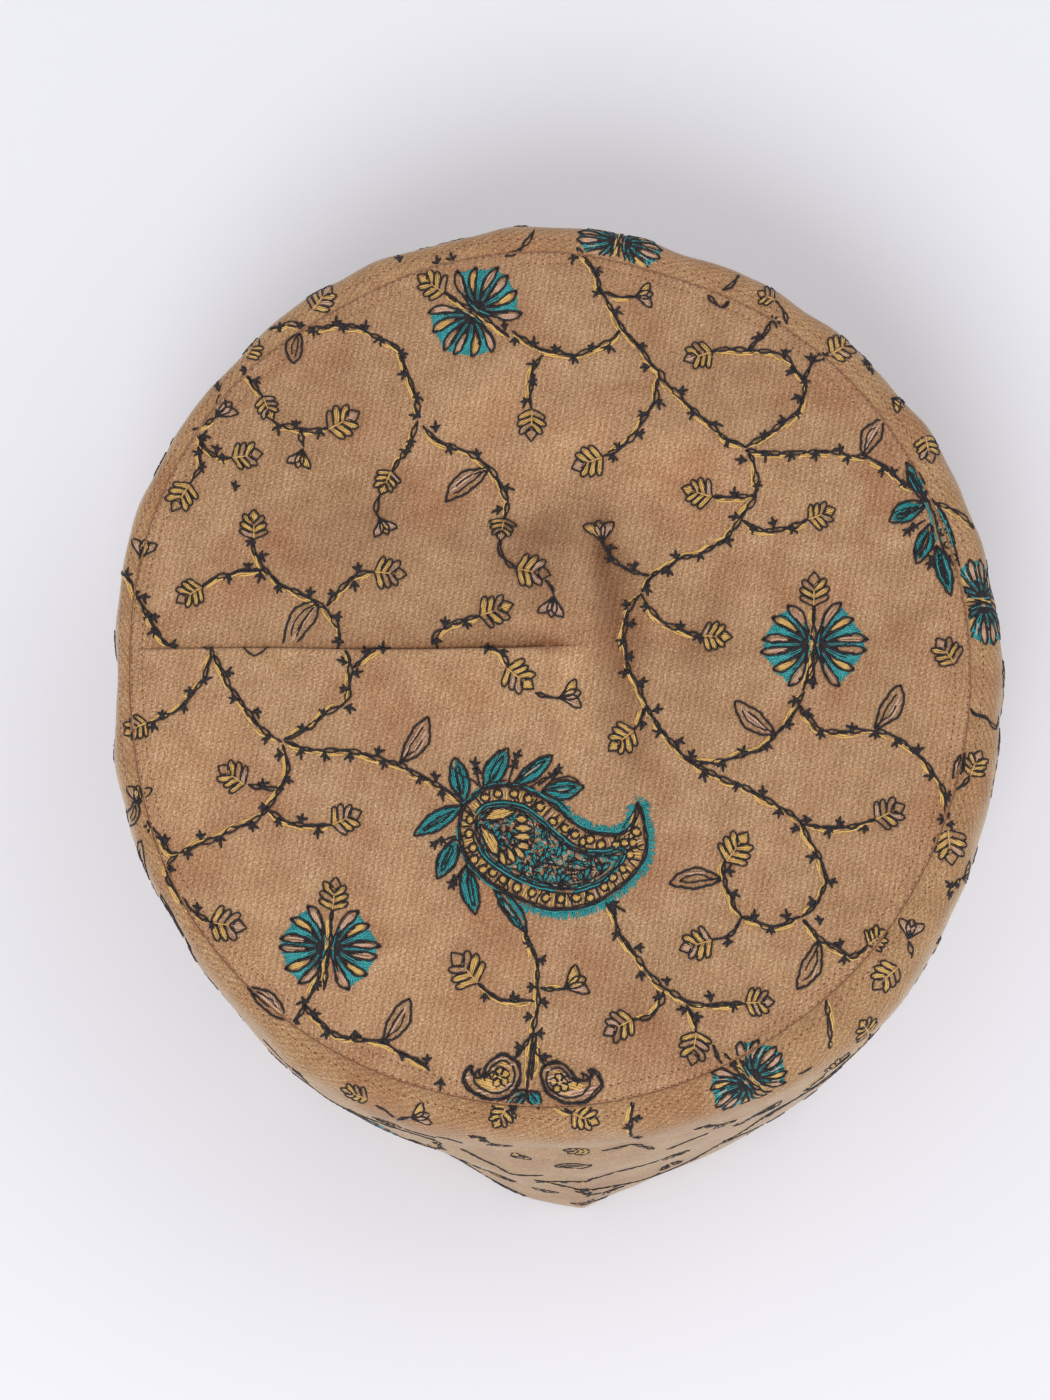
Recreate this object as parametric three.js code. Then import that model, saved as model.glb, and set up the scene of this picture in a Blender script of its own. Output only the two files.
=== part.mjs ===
// An embroidered wool skullcap: a soft, round, brimless cap sewn from two pieces of cloth.
//   crown_panel  the oval top, cut as one piece, with a dart taken in from its left edge to the middle and
//                the creases of a cap that is put away folded flat
//   side_band    the upright wall, joined to the crown by a seam that lies a little inside the rounded top
//                shoulder, and pinched to a blunt point at the front and the back, where it folds
// Millimetres, +Z up. The cap stands on its rim at z = 0, -Y is the front, and the origin is the middle of
// the footprint. The sections are measured from the middle of the crown: deg turns from +X towards +Y.

import * as THREE from "three";
import { ParametricGeometry } from "three/addons/geometries/ParametricGeometry.js";

// Driving sizes, mm
const CLOTH = 2.0; // wool twill and its backing, laid together
const SEAM_Z = 80.0; // height of the crown seam above the rim
const SEAM_GAP = 0.3; // the crown's cut edge stands this far off the band's
const SEAM_SINK = 0.5; // the seam is drawn down into the cloth
const CROWN_RISE = 2.4; // how far the flat top stands above its seam
const TUCK = 1.1; // height of the dart's rolled edge over the cloth behind it
const TUCK_ROLL = 7.0; // how far back that roll dies out
const CREASE = 1.5; // height of the fold line that runs front to back
const CREASE_FALL = [11.0, 5.0]; // how fast it falls away to the left and to the right
const WALL_BELLY = 1.2; // how far the wall swells between the shoulder and the rim
const FOLD_DEG = [90, 273.2]; // where the band folds, at the back and at the front
const FOLD_OUT = 1.3; // how far the band's fold lines stand out at the rim
const FOLD_HALF_DEG = 4; // how wide they are
const CROWN_MIDDLE = { x: -0.125, y: -0.458 }; // the crown's middle, measured from the footprint's

// Each row is one section round the cap: the radius of the crown seam, of the shoulder and of the rim.
const SECTIONS = [
  { deg: 0, seam: 87.4, bulge: 95.3, rim: 80.0 },
  { deg: 15, seam: 87.8, bulge: 95.8, rim: 82.0 },
  { deg: 30, seam: 88.6, bulge: 97.4, rim: 87.0 },
  { deg: 45, seam: 90.0, bulge: 98.0, rim: 92.5 },
  { deg: 60, seam: 90.9, bulge: 99.3, rim: 95.5 },
  { deg: 75, seam: 91.4, bulge: 100.0, rim: 100.0 },
  { deg: 90, seam: 93.6, bulge: 102.2, rim: 105.4 },
  { deg: 105, seam: 94.3, bulge: 101.4, rim: 100.0 },
  { deg: 120, seam: 93.8, bulge: 101.9, rim: 95.5 },
  { deg: 135, seam: 94.4, bulge: 99.8, rim: 92.5 },
  { deg: 150, seam: 93.8, bulge: 98.8, rim: 87.0 },
  { deg: 165, seam: 92.6, bulge: 97.4, rim: 82.0 },
  { deg: 180, seam: 91.2, bulge: 94.8, rim: 80.0 },
  { deg: 195, seam: 91.8, bulge: 96.9, rim: 82.0 },
  { deg: 210, seam: 93.6, bulge: 97.4, rim: 87.5 },
  { deg: 225, seam: 94.4, bulge: 98.8, rim: 94.2 },
  { deg: 240, seam: 94.6, bulge: 101.7, rim: 95.2 },
  { deg: 255, seam: 94.2, bulge: 101.6, rim: 97.6 },
  { deg: 270, seam: 93.8, bulge: 100.8, rim: 105.2 },
  { deg: 285, seam: 92.5, bulge: 100.8, rim: 101.2 },
  { deg: 300, seam: 90.8, bulge: 101.4, rim: 99.0 },
  { deg: 315, seam: 89.5, bulge: 100.8, rim: 95.4 },
  { deg: 330, seam: 88.2, bulge: 97.4, rim: 87.5 },
  { deg: 345, seam: 87.5, bulge: 95.6, rim: 82.0 },
];

// The rounded shoulder in section: share of the way from seam to bulge, and the drop below the seam.
const SHOULDER = [
  { share: 0.0, drop: 0.5 },
  { share: 0.22, drop: -0.1 },
  { share: 0.5, drop: 0.5 },
  { share: 0.76, drop: 2.3 },
  { share: 0.93, drop: 5.6 },
  { share: 1.0, drop: 10.0 },
  { share: 0.995, drop: 14.0 },
];
const WALL_ROWS = 8; // rows from the shoulder down to the rim

// Soft rises and dents of the crown: middle, half-lengths along and across, turn of the long way, height.
const SWELLS = [
  { name: "dart_point_knoll", x: -4, y: 8, along: 20, across: 13, turn: 8, rise: 3.6 },
  { name: "back_trough", x: -14, y: 33, along: 27, across: 8.5, turn: -4, rise: -2.6 },
  { name: "right_dent", x: 29, y: 16, along: 24, across: 15, turn: 82, rise: -3.4 },
  { name: "back_swell", x: 4, y: 53, along: 34, across: 11, turn: -6, rise: 1.5 },
  { name: "right_back_swell", x: 41, y: 44, along: 18, across: 13, turn: -40, rise: 1.4 },
  { name: "left_front_swell", x: -42, y: -26, along: 30, across: 20, turn: -20, rise: 1.5 },
  { name: "front_trough", x: 16, y: -52, along: 22, across: 6, turn: 118, rise: -0.9 },
];
const DART = { x: -2.4, y: 2.6, out_y: 3.7 }; // its point on the crown, and where it meets the seam
const CREASE_LINE = { x0: 7.1, y0: 36.3, x1: 8.5, y1: -24.5 };

const TURN = 2 * Math.PI;
const rad = (deg) => (deg * Math.PI) / 180;
const mix = (a, b, t) => a + (b - a) * t;
const smooth = (t) => {
  const u = Math.min(1, Math.max(0, t));
  return u * u * (3 - 2 * u);
};

// A section's radius at any angle, by a closed Catmull-Rom through the table.
function radiusAt(column, angle) {
  const n = SECTIONS.length;
  const turned = ((((angle % TURN) + TURN) % TURN) / TURN) * n;
  const i = Math.floor(turned) % n;
  const t = turned - Math.floor(turned);
  const [p0, p1, p2, p3] = [-1, 0, 1, 2].map((k) => SECTIONS[(i + k + n) % n][column]);
  return (
    0.5 *
    (2 * p1 +
      (p2 - p0) * t +
      (2 * p0 - 5 * p1 + 4 * p2 - p3) * t * t +
      (3 * p1 - p0 - 3 * p2 + p3) * t * t * t)
  );
}

// The fold lines at the front and the back of the band, strongest at the rim.
function foldOut(angle, down) {
  const near = Math.min(
    ...FOLD_DEG.map((deg) => Math.abs(((((angle - rad(deg) + Math.PI) % TURN) + TURN) % TURN) - Math.PI)),
  );
  return FOLD_OUT * down * Math.exp(-near / rad(FOLD_HALF_DEG));
}

// One closed loop of the band's section at an angle: up the outside, over the seam's edge, down the inside.
function bandLoop(angle) {
  const seam = radiusAt("seam", angle) + SEAM_GAP / 2;
  const bulge = radiusAt("bulge", angle);
  const rim = radiusAt("rim", angle);
  const outer = SHOULDER.map((row) => ({
    r: mix(seam, bulge, row.share),
    z: SEAM_Z - row.drop,
  }));
  const low = outer[outer.length - 1];
  for (let k = 1; k <= WALL_ROWS; k++) {
    const s = k / WALL_ROWS;
    outer.push({
      r: mix(low.r, rim, s) + WALL_BELLY * Math.sin(Math.PI * s) + foldOut(angle, s * s),
      z: mix(low.z, 0, s),
    });
  }
  // The inside is the outside moved in by the cloth, square to it in the section.
  const inner = outer.map((p, i) => {
    const a = outer[Math.max(0, i - 1)];
    const b = outer[Math.min(outer.length - 1, i + 1)];
    const long = Math.hypot(b.r - a.r, b.z - a.z);
    return {
      r: p.r + ((b.z - a.z) / long) * CLOTH,
      z: p.z - ((b.r - a.r) / long) * CLOTH,
    };
  });
  inner[0] = { r: seam, z: outer[0].z - CLOTH };
  inner[inner.length - 1] = { r: rim + foldOut(angle, 1) - CLOTH, z: 0 };
  return [...outer.reverse(), ...inner];
}

const BAND_SECTIONS = 84;
const LOOP = bandLoop(0).length;

function bandPoint(u, v, target) {
  const angle = ((Math.round(u * BAND_SECTIONS) % BAND_SECTIONS) * TURN) / BAND_SECTIONS;
  const p = bandLoop(angle)[Math.round(v * LOOP) % LOOP];
  target.set(p.r * Math.cos(angle), p.r * Math.sin(angle), p.z);
}

// Height of the crown's upper face above the rim.
function crownHeight(x, y) {
  const q = Math.hypot(x, y) / radiusAt("seam", Math.atan2(y, x));
  const inside = smooth((1 - q) / 0.16); // the dents die out at the seam
  let z = SEAM_Z - SEAM_SINK + CROWN_RISE * (1 - Math.pow(Math.min(q, 1), 7));
  for (const s of SWELLS) {
    const c = Math.cos(rad(s.turn));
    const n = Math.sin(rad(s.turn));
    const a = ((x - s.x) * c + (y - s.y) * n) / s.along;
    const b = ((y - s.y) * c - (x - s.x) * n) / s.across;
    z += s.rise * Math.exp(-(a * a + b * b)) * inside;
  }
  // the fold line: a ridge that falls away softly to the left and fast to the right
  const t = (y - CREASE_LINE.y0) / (CREASE_LINE.y1 - CREASE_LINE.y0);
  const off = x - mix(CREASE_LINE.x0, CREASE_LINE.x1, t);
  const held = smooth((t + 0.12) / 0.3) * smooth((1.12 - t) / 0.35);
  z += CREASE * held * Math.exp(-Math.abs(off) / CREASE_FALL[off < 0 ? 0 : 1]);
  // the dart: cloth in front of the line rolls over the cloth behind it
  const along = (DART.x - x) / (DART.x + radiusAt("seam", Math.PI)); // 0 at the point, 1 at the seam
  if (along > -0.12) {
    const side = y - mix(DART.y, DART.out_y, along);
    const depth = smooth((along + 0.12) / 0.2) * mix(1, 0.55, smooth(along)) * smooth((1 - q) / 0.05);
    const roll = Math.exp(-Math.abs(side) / TUCK_ROLL) * smooth(Math.abs(side) / 0.35);
    z += (side > 0 ? -0.62 : 0.38) * TUCK * depth * roll;
  }
  return z;
}

// Rays from the dart's point to the seam. Close rays hold the dart's edge.
const EVEN_RAYS = 60;
const DART_RAYS = [177.4, 179.2, 179.75, 180.25, 181.3, 182.6];
const RAYS = [...Array(EVEN_RAYS).keys()]
  .map((k) => (k * 360) / EVEN_RAYS)
  .filter((deg) => deg !== 180)
  .concat(DART_RAYS)
  .sort((a, b) => a - b);
// Rings as shares of each ray, from the dart's point to the cut edge
const RINGS = [0.0, 0.04, 0.09, 0.15, 0.22, 0.29, 0.36, 0.43, 0.5, 0.57, 0.64, 0.71, 0.78, 0.84, 0.89, 0.93, 0.965, 1.0];

// Distance from the dart's point to the crown's cut edge along a ray.
function reach(ray) {
  let low = 0;
  let high = 140;
  for (let k = 0; k < 40; k++) {
    const mid = (low + high) / 2;
    const x = DART.x + mid * Math.cos(ray);
    const y = DART.y + mid * Math.sin(ray);
    const edge = radiusAt("seam", Math.atan2(y, x)) - SEAM_GAP / 2;
    if (Math.hypot(x, y) < edge) low = mid;
    else high = mid;
  }
  return low;
}

// The crown is turned from a closed profile (the under side from the point out to the edge, then the upper
// side back), and each of its points is then laid on its ray and lifted to the crown's own height.
function crownGeometry() {
  const under = RINGS.map((share) => new THREE.Vector2(share, -1));
  const upper = [...RINGS].reverse().map((share) => new THREE.Vector2(share, 1));
  const profile = [...under, ...upper];
  const g = new THREE.LatheGeometry(profile, RAYS.length);
  const p = g.getAttribute("position");
  const per = profile.length;
  for (let i = 0; i < p.count; i++) {
    const ray = rad(RAYS[Math.floor(i / per) % RAYS.length]);
    const row = profile[i % per];
    const d = row.x * reach(ray);
    const x = DART.x + d * Math.cos(ray);
    const y = DART.y + d * Math.sin(ray);
    p.setXYZ(i, x, y, crownHeight(x, y) - (row.y < 0 ? CLOTH : 0));
  }
  return g;
}

function bareGeometry(g) {
  g.deleteAttribute("uv");
  g.deleteAttribute("normal");
  return g;
}

const wool = () =>
  new THREE.MeshStandardMaterial({
    name: "camel wool twill",
    color: new THREE.Color(0.42, 0.245, 0.135),
    roughness: 0.95,
    metalness: 0.0,
  });

const crown = new THREE.Mesh(bareGeometry(crownGeometry()), wool());
crown.name = "crown_panel";

const band = new THREE.Mesh(bareGeometry(new ParametricGeometry(bandPoint, BAND_SECTIONS, LOOP)), wool());
band.name = "side_band";

const cap = new THREE.Group();
cap.name = "skullcap";
cap.add(crown, band);
cap.position.set(CROWN_MIDDLE.x, CROWN_MIDDLE.y, 0);

export default cap;
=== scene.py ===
"""An embroidered wool skullcap: crown and side band in camel twill, sewn together with a topstitched seam and
worked all over with vines, buds, tulips, leaves, round fan flowers and paisleys in stranded thread.

Lengths in the tables are millimetres, measured from the middle of the crown, or picture points of a
1050 x 1400 picture taken by the camera below. Everything is moved to the frame's own origin and to metres at
the end."""

import math

import bpy
import numpy as np
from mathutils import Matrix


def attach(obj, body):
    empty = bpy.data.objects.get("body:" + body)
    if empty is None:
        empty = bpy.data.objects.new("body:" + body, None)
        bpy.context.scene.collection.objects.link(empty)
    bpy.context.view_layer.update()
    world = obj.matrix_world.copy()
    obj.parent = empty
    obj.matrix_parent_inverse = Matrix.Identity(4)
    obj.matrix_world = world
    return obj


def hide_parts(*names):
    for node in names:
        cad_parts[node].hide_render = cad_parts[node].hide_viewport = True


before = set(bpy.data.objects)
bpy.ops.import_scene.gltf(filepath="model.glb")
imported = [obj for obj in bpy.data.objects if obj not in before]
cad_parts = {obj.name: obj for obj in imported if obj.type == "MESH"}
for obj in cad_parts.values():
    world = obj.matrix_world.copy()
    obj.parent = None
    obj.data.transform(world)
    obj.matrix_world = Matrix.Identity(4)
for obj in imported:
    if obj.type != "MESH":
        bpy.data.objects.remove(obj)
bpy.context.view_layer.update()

TURN = 2 * np.pi

# ---------------------------------------------------------------------------------------------------------
# Sizes shared with the CAD part
# ---------------------------------------------------------------------------------------------------------
CLOTH = 2.0
SEAM_Z = 80.0
SEAM_SINK = 0.5
CROWN_RISE = 2.4
TUCK = 1.1
TUCK_ROLL = 7.0
CREASE = 1.5
CREASE_FALL = (11.0, 5.0)
WALL_BELLY = 1.2
FOLD_DEG = (90.0, 273.2)
FOLD_OUT = 1.3
FOLD_HALF_DEG = 4.0
MIDDLE = np.array([-0.125, -0.458, 0.0])

SEAM_R = np.array([87.4, 87.8, 88.6, 90.0, 90.9, 91.4, 93.6, 94.3, 93.8, 94.4, 93.8, 92.6,
                   91.2, 91.8, 93.6, 94.4, 94.6, 94.2, 93.8, 92.5, 90.8, 89.5, 88.2, 87.5])
BULGE_R = np.array([95.3, 95.8, 97.4, 98.0, 99.3, 100.0, 102.2, 101.4, 101.9, 99.8, 98.8, 97.4,
                    94.8, 96.9, 97.4, 98.8, 101.7, 101.6, 100.8, 100.8, 101.4, 100.8, 97.4, 95.6])
RIM_R = np.array([80.0, 82.0, 87.0, 92.5, 95.5, 100.0, 105.4, 100.0, 95.5, 92.5, 87.0, 82.0,
                  80.0, 82.0, 87.5, 94.2, 95.2, 97.6, 105.2, 101.2, 99.0, 95.4, 87.5, 82.0])
SHOULDER = ((0.0, 0.5), (0.22, 0.38), (0.5, 0.9), (0.76, 2.5), (0.93, 5.6), (1.0, 10.0), (0.995, 14.0))
WALL_ROWS = 8
SWELLS = (
    (-4, 8, 20, 13, 8, 3.6), (-14, 33, 27, 8.5, -4, -2.6), (29, 16, 24, 15, 82, -3.4),
    (4, 53, 34, 11, -6, 1.5), (41, 44, 18, 13, -40, 1.4), (-42, -26, 30, 20, -20, 1.5),
    (16, -52, 22, 6, 118, -0.9),
)
DART = (-2.4, 2.6, 3.7)
CREASE_LINE = (7.1, 36.3, 8.5, -24.5)

# Small dents and rises that the stiff part leaves out: middle, half-lengths, turn, height
SMALL_SWELLS = (
    (-8.5, 3.6, 6.5, 1.6, 4, -1.0),      # dimple where the dart runs out
    (-9.0, 8.0, 7.0, 3.0, 4, 0.5),
    (-5, 10.5, 15, 8, 4, 0.8),           # knoll at the dart's point, and the trough behind it
    (-5, 36.5, 17, 6.5, -4, -1.5),
    (-12, 62, 20, 9, 14, 0.7),
    (31, 50, 21, 10, -24, 1.2),
    (39, 6, 16, 10, 85, -1.3),           # hollow to the right of the crease
    (-54, 20, 17, 9, 62, 1.0),           # rise and hollow at the upper left
    (-35, 42, 17, 10, 52, -1.1),
    (-48, 12.5, 7, 4, 10, -0.35),
    (20, -36, 3, 20, 4, -0.30),          # faint crease in front
    (38, -8, 14, 3.2, 70, -0.35),
    (72, 26, 16, 3.0, 80, -0.55),        # hollow behind the seam on the right
    (74, -6, 12, 3.0, 95, -0.50),
    (60, -52, 3.0, 12, -38, -0.45),
    (-72, -58, 14, 3.0, -55, -0.35),
    (-30, -62, 14, 4.0, -8, 0.35),
    (-64, 44, 14, 4.0, 50, -0.35),
)


def smooth(t):
    u = np.clip(t, 0.0, 1.0)
    return u * u * (3 - 2 * u)


def table_at(table, angle):
    """A closed Catmull-Rom through an even table of radii."""
    n = len(table)
    turned = np.mod(angle, TURN) / TURN * n
    i = np.floor(turned).astype(int) % n
    t = turned - np.floor(turned)
    p0, p1, p2, p3 = (table[(i + k) % n] for k in (-1, 0, 1, 2))
    return 0.5 * (2 * p1 + (p2 - p0) * t + (2 * p0 - 5 * p1 + 4 * p2 - p3) * t ** 2
                  + (3 * p1 - p0 - 3 * p2 + p3) * t ** 3)


def pucker(angle):
    """The gathers along the seam, uneven round the cap, about 6 to 9 mm apart."""
    a = angle
    wave = (np.sin(71 * a + 0.7 * np.sin(5 * a)) + 0.7 * np.sin(92 * a + 1.9 + np.sin(3 * a + 1.0))
            + 0.5 * np.sin(58 * a + 4.1))
    strength = 0.55 + 0.30 * np.sin(2 * a + 0.6) + 0.22 * np.sin(5 * a + 2.0) + 0.25 * np.cos(a - 0.2)
    return wave * np.clip(strength, 0.15, 1.3)


def topstitch_in(angle):
    """How far inside the seam the topstitched row runs."""
    return 2.9 + 0.45 * np.sin(3 * angle + 1.0) + 0.25 * np.sin(8 * angle + 0.4)


# ---------------------------------------------------------------------------------------------------------
# The crown: a height field over its plan
# ---------------------------------------------------------------------------------------------------------
def crown_height(x, y, fine=True):
    a = np.arctan2(y, x)
    seam = table_at(SEAM_R, a)
    r = np.hypot(x, y)
    q = r / seam
    d = np.maximum(seam - r, 0.0)
    inside = smooth((1 - q) / 0.16)
    z = SEAM_Z - SEAM_SINK + CROWN_RISE * (1 - np.minimum(q, 1.0) ** 7)
    for sx, sy, along, across, turn, rise in SWELLS:
        c, n = math.cos(math.radians(turn)), math.sin(math.radians(turn))
        e = ((x - sx) * c + (y - sy) * n) / along
        f = ((y - sy) * c - (x - sx) * n) / across
        z = z + rise * np.exp(-(e * e + f * f)) * inside
    t = (y - CREASE_LINE[1]) / (CREASE_LINE[3] - CREASE_LINE[1])
    off = x - (CREASE_LINE[0] + (CREASE_LINE[2] - CREASE_LINE[0]) * t)
    held = smooth((t + 0.12) / 0.3) * smooth((1.12 - t) / 0.35)
    fall = np.where(off < 0, CREASE_FALL[0], CREASE_FALL[1])
    z = z + CREASE * held * np.exp(-np.sqrt(off * off + 0.5) / fall)
    along = (DART[0] - x) / (DART[0] + SEAM_R[12])
    side = y - (DART[1] + (DART[2] - DART[1]) * along)
    deep = smooth((along + 0.12) / 0.2) * (1 - 0.45 * smooth(along)) * smooth((1 - q) / 0.05)
    reach = np.abs(side)
    over = 0.38 * smooth(reach / 0.5) * np.exp(-reach / TUCK_ROLL)
    under = -0.62 * np.exp(-reach / TUCK_ROLL)
    z = z + TUCK * deep * np.where(side < 0, over, under)
    z = z - 0.55 * deep * np.where(side > 0, np.exp(-reach / 1.1), np.exp(-reach / 0.16))
    if fine:
        for sx, sy, along_, across, turn, rise in SMALL_SWELLS:
            c, n = math.cos(math.radians(turn)), math.sin(math.radians(turn))
            e = ((x - sx) * c + (y - sy) * n) / along_
            f = ((y - sy) * c - (x - sx) * n) / across
            z = z + rise * np.exp(-(e * e + f * f)) * smooth((1 - q) / 0.03)
        # the crease drops off steeply on its right
        soft = np.sqrt(off * off + 0.3)
        z = z + 2.0 * smooth((t + 0.10) / 0.25) * smooth((0.95 - t) / 0.35) * np.where(
            off < 0, np.exp(-soft / 12.0), np.exp(-soft / 2.9))
        z = z + 0.14 * np.sin(x * 0.19 + 1.3 * np.sin(y * 0.11)) * np.sin(y * 0.17 + 0.8) * inside
        z = z + 0.16 * pucker(a) * np.exp(-d / 4.2) * smooth(d / 1.0)
        z = z - 0.16 * np.exp(-((d - topstitch_in(a)) / 0.50) ** 2)
        z = z - 0.06 * np.exp(-(d / 0.7) ** 1.2)
    return z


# Painted shade in the crown's hollows and painted highlight on its rises: a picture point, half-lengths in mm
# along and across, turn in degrees, depth (more is darker, below nothing paler)
PAINTED_SHADE_PATCHES = (
    (602, 545, 9, 1.8, 88, 0.42), (612, 572, 13, 4.0, -82, 0.44), (620, 645, 16, 4.2, -82, 0.46),   # right of the crease
    (626, 722, 13, 5.0, -84, 0.30), (640, 600, 20, 9, -70, 0.12),
    (550, 535, 14, 8.0, 50, 0.34), (530, 575, 17, 11, 40, 0.16),       # hollow to its left
    (568, 665, 14, 2.4, 88, -0.24), (540, 620, 3.2, 2.2, 20, -0.30),
    (577, 440, 12, 4.2, 40, -0.26), (500, 396, 16, 5.0, 32, -0.26), (664, 464, 10, 6.0, 20, -0.22),
    (345, 530, 18, 13, 50, 0.34), (705, 635, 12, 5.0, 80, 0.36),
    (480, 640, 21, 2.0, 2, 0.26), (400, 628, 24, 5.0, 0, 0.14), (470, 690, 24, 6.5, 0, -0.08),
    (190, 770, 20, 12, 70, -0.14), (380, 960, 34, 16, -10, -0.10),
    (640, 1000, 20, 12, 30, 0.14), (720, 380, 22, 11, -20, 0.14), (330, 400, 26, 12, 40, 0.16),
    (900, 640, 12, 6, 85, 0.20), (860, 860, 20, 9, 60, 0.12), (645, 790, 14, 6, 70, 0.12),
)


# painted shade and painted highlight over the crown, summed from the patches, with a painted shadow along the dart
def crown_painted_shade(x, y):
    value = np.zeros_like(x)
    for px, py, along, across_, turn, depth in PAINTED_SHADE_PATCHES:
        sx, sy = (float(v[0]) for v in crown_from_picture(np.array([float(px)]), np.array([float(py)])))
        c, n = math.cos(math.radians(turn)), math.sin(math.radians(turn))
        e = ((x - sx) * c + (y - sy) * n) / along
        f = ((y - sy) * c - (x - sx) * n) / across_
        value = value + depth * np.exp(-(e * e + f * f))
    # painted shadow behind the dart's fold line, where the front cloth's folded edge lies over the cloth going under
    # it, and a faint painted highlight on the lit fold just in front of the line
    along = (DART[0] - x) / (DART[0] + SEAM_R[12])
    side = y - (DART[1] + (DART[2] - DART[1]) * along)
    deep = smooth((along + 0.16) / 0.2) * smooth((1.0 - along) / 0.12) * (1 - 0.35 * smooth(along))
    value = value + deep * np.where(side > 0, 0.50 * np.exp(-side / 2.3) + 0.55 * np.exp(-side / 0.5), 0.0)
    value = value - 0.10 * deep * np.where(side < 0, np.exp(-((side + 1.6) / 1.3) ** 2), 0.0)
    # past the dart's right end the shade runs on as a soft wedge
    past = x - DART[0]
    wedge = smooth((past + 7.0) / 7.0) * smooth((9.5 - past) / 9.5)
    value = value + 0.52 * wedge * np.exp(-((side - 0.3) / (0.8 + 0.10 * np.maximum(past + 7.0, 0.0))) ** 2)
    return value


def crown_place(u, v, h):
    """A point h above the crown's cloth at plan (u, v), and the cloth's normal there."""
    e = 0.25
    z = crown_height(u, v)
    gx = (crown_height(u + e, v) - crown_height(u - e, v)) / (2 * e)
    gy = (crown_height(u, v + e) - crown_height(u, v - e)) / (2 * e)
    gx, gy = np.clip(gx, -0.8, 0.8), np.clip(gy, -0.8, 0.8)
    n = np.stack([-gx, -gy, np.ones_like(gx)], -1)
    n /= np.linalg.norm(n, axis=-1, keepdims=True)
    p = np.stack([u, v, z], -1)
    return p + n * np.asarray(h)[..., None], n


# ---------------------------------------------------------------------------------------------------------
# The band: a section at each angle, kept as a table over (angle, distance from the seam)
# ---------------------------------------------------------------------------------------------------------
BAND_ROUND = 97.0  # u = angle x this, so that motifs keep their shape on the wall
N_TABLE = 1080
V_STEP = 0.25
V_MAX = 104.0


def catmull(points, per):
    """Catmull-Rom through rows of control points (..., n)."""
    n = points.shape[-1]
    out = []
    for i in range(n - 1):
        p1, p2 = points[..., i], points[..., i + 1]
        p0 = points[..., i - 1] if i else 2 * p1 - p2
        p3 = points[..., i + 2] if i + 2 < n else 2 * p2 - p1
        for k in range(per):
            t = k / per
            out.append(0.5 * (2 * p1 + (p2 - p0) * t + (2 * p0 - 5 * p1 + 4 * p2 - p3) * t ** 2
                              + (3 * p1 - p0 - 3 * p2 + p3) * t ** 3))
    out.append(points[..., -1])
    return np.stack(out, -1)


def band_table():
    a = np.arange(N_TABLE) * TURN / N_TABLE
    seam = table_at(SEAM_R, a) + 0.02
    bulge = table_at(BULGE_R, a)
    rim = table_at(RIM_R, a)
    r = [seam + (bulge - seam) * share for share, _ in SHOULDER]
    z = [np.full_like(a, SEAM_Z - drop) for _, drop in SHOULDER]
    near = np.min([np.abs(np.mod(a - math.radians(d) + np.pi, TURN) - np.pi) for d in FOLD_DEG], 0)
    fold = FOLD_OUT * np.exp(-near / math.radians(FOLD_HALF_DEG))
    low_r, low_z = r[-1], z[-1]
    for k in range(1, WALL_ROWS + 1):
        s = k / WALL_ROWS
        r.append(low_r + (rim - low_r) * s + WALL_BELLY * math.sin(math.pi * s) + fold * s * s)
        z.append(low_z * (1 - s))
    r = catmull(np.stack(r, -1), 8)
    z = catmull(np.stack(z, -1), 8)
    arc = np.concatenate([np.zeros((N_TABLE, 1)), np.cumsum(np.hypot(np.diff(r), np.diff(z)), -1)], -1)
    grid = np.arange(0, V_MAX, V_STEP)
    rr, zz = np.empty((N_TABLE, len(grid))), np.empty((N_TABLE, len(grid)))
    for i in range(N_TABLE):
        rr[i] = np.interp(grid, arc[i], r[i])
        zz[i] = np.interp(grid, arc[i], z[i])
        past = grid > arc[i, -1]
        rr[i, past] = r[i, -1]
        zz[i, past] = z[i, -1] - (grid[past] - arc[i, -1])
    length = arc[:, -1]
    # the section's outward normal, then the soft relief of real cloth along it
    dr, dz = np.gradient(rr, axis=1), np.gradient(zz, axis=1)
    size = np.hypot(dr, dz) + 1e-9
    nr, nz = -dz / size, dr / size
    aa, vv = np.meshgrid(a, grid, indexing="ij")
    wall = smooth((vv - 9) / 12.0)
    foot = smooth((length[:, None] - vv) / 10.0)
    lift = 0.15 * pucker(aa + 0.006) * np.exp(-vv / 4.6) * smooth(vv / 1.0)
    lift += 0.30 * np.sin(23 * aa + 1.1 * np.sin(vv * 0.07)) * np.exp(-((vv - 9.5) / 5.5) ** 2)
    lift += 0.18 * np.sin(41 * aa + 2.1) * np.exp(-((vv - 12.0) / 6.0) ** 2)
    lift += (0.55 * np.sin(7 * aa + 0.06 * vv + 0.5) * np.sin(vv * 0.085 + 2 * np.sin(3 * aa))
             + 0.32 * np.sin(13 * aa - 0.09 * vv + 2.0) * np.sin(vv * 0.13 + 0.6)) * wall * (0.35 + 0.65 * foot)
    lift -= 0.13 * np.exp(-((vv - 3.1 - 0.35 * np.sin(4 * aa)) / 0.55) ** 2)
    lift -= 0.08 * np.exp(-(vv / 0.8) ** 1.2)
    hem = length[:, None] - vv
    lift -= 0.16 * np.exp(-((hem - 5.0) / 0.6) ** 2) * (hem > 0)
    # the folds at the back and the front: a soft break in the cloth
    for deg in FOLD_DEG:
        off = np.mod(aa - math.radians(deg) + np.pi, TURN) - np.pi
        lift += 0.35 * np.exp(-(off / math.radians(1.1)) ** 2) * wall
        lift -= 0.25 * np.exp(-((np.abs(off) - math.radians(4.2)) / math.radians(1.8)) ** 2) * wall
    rr += nr * lift
    zz = np.where(zz > 0.8, zz + nz * lift, zz)
    return rr, zz, length


BAND_R, BAND_Z, BAND_LONG = band_table()


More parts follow.
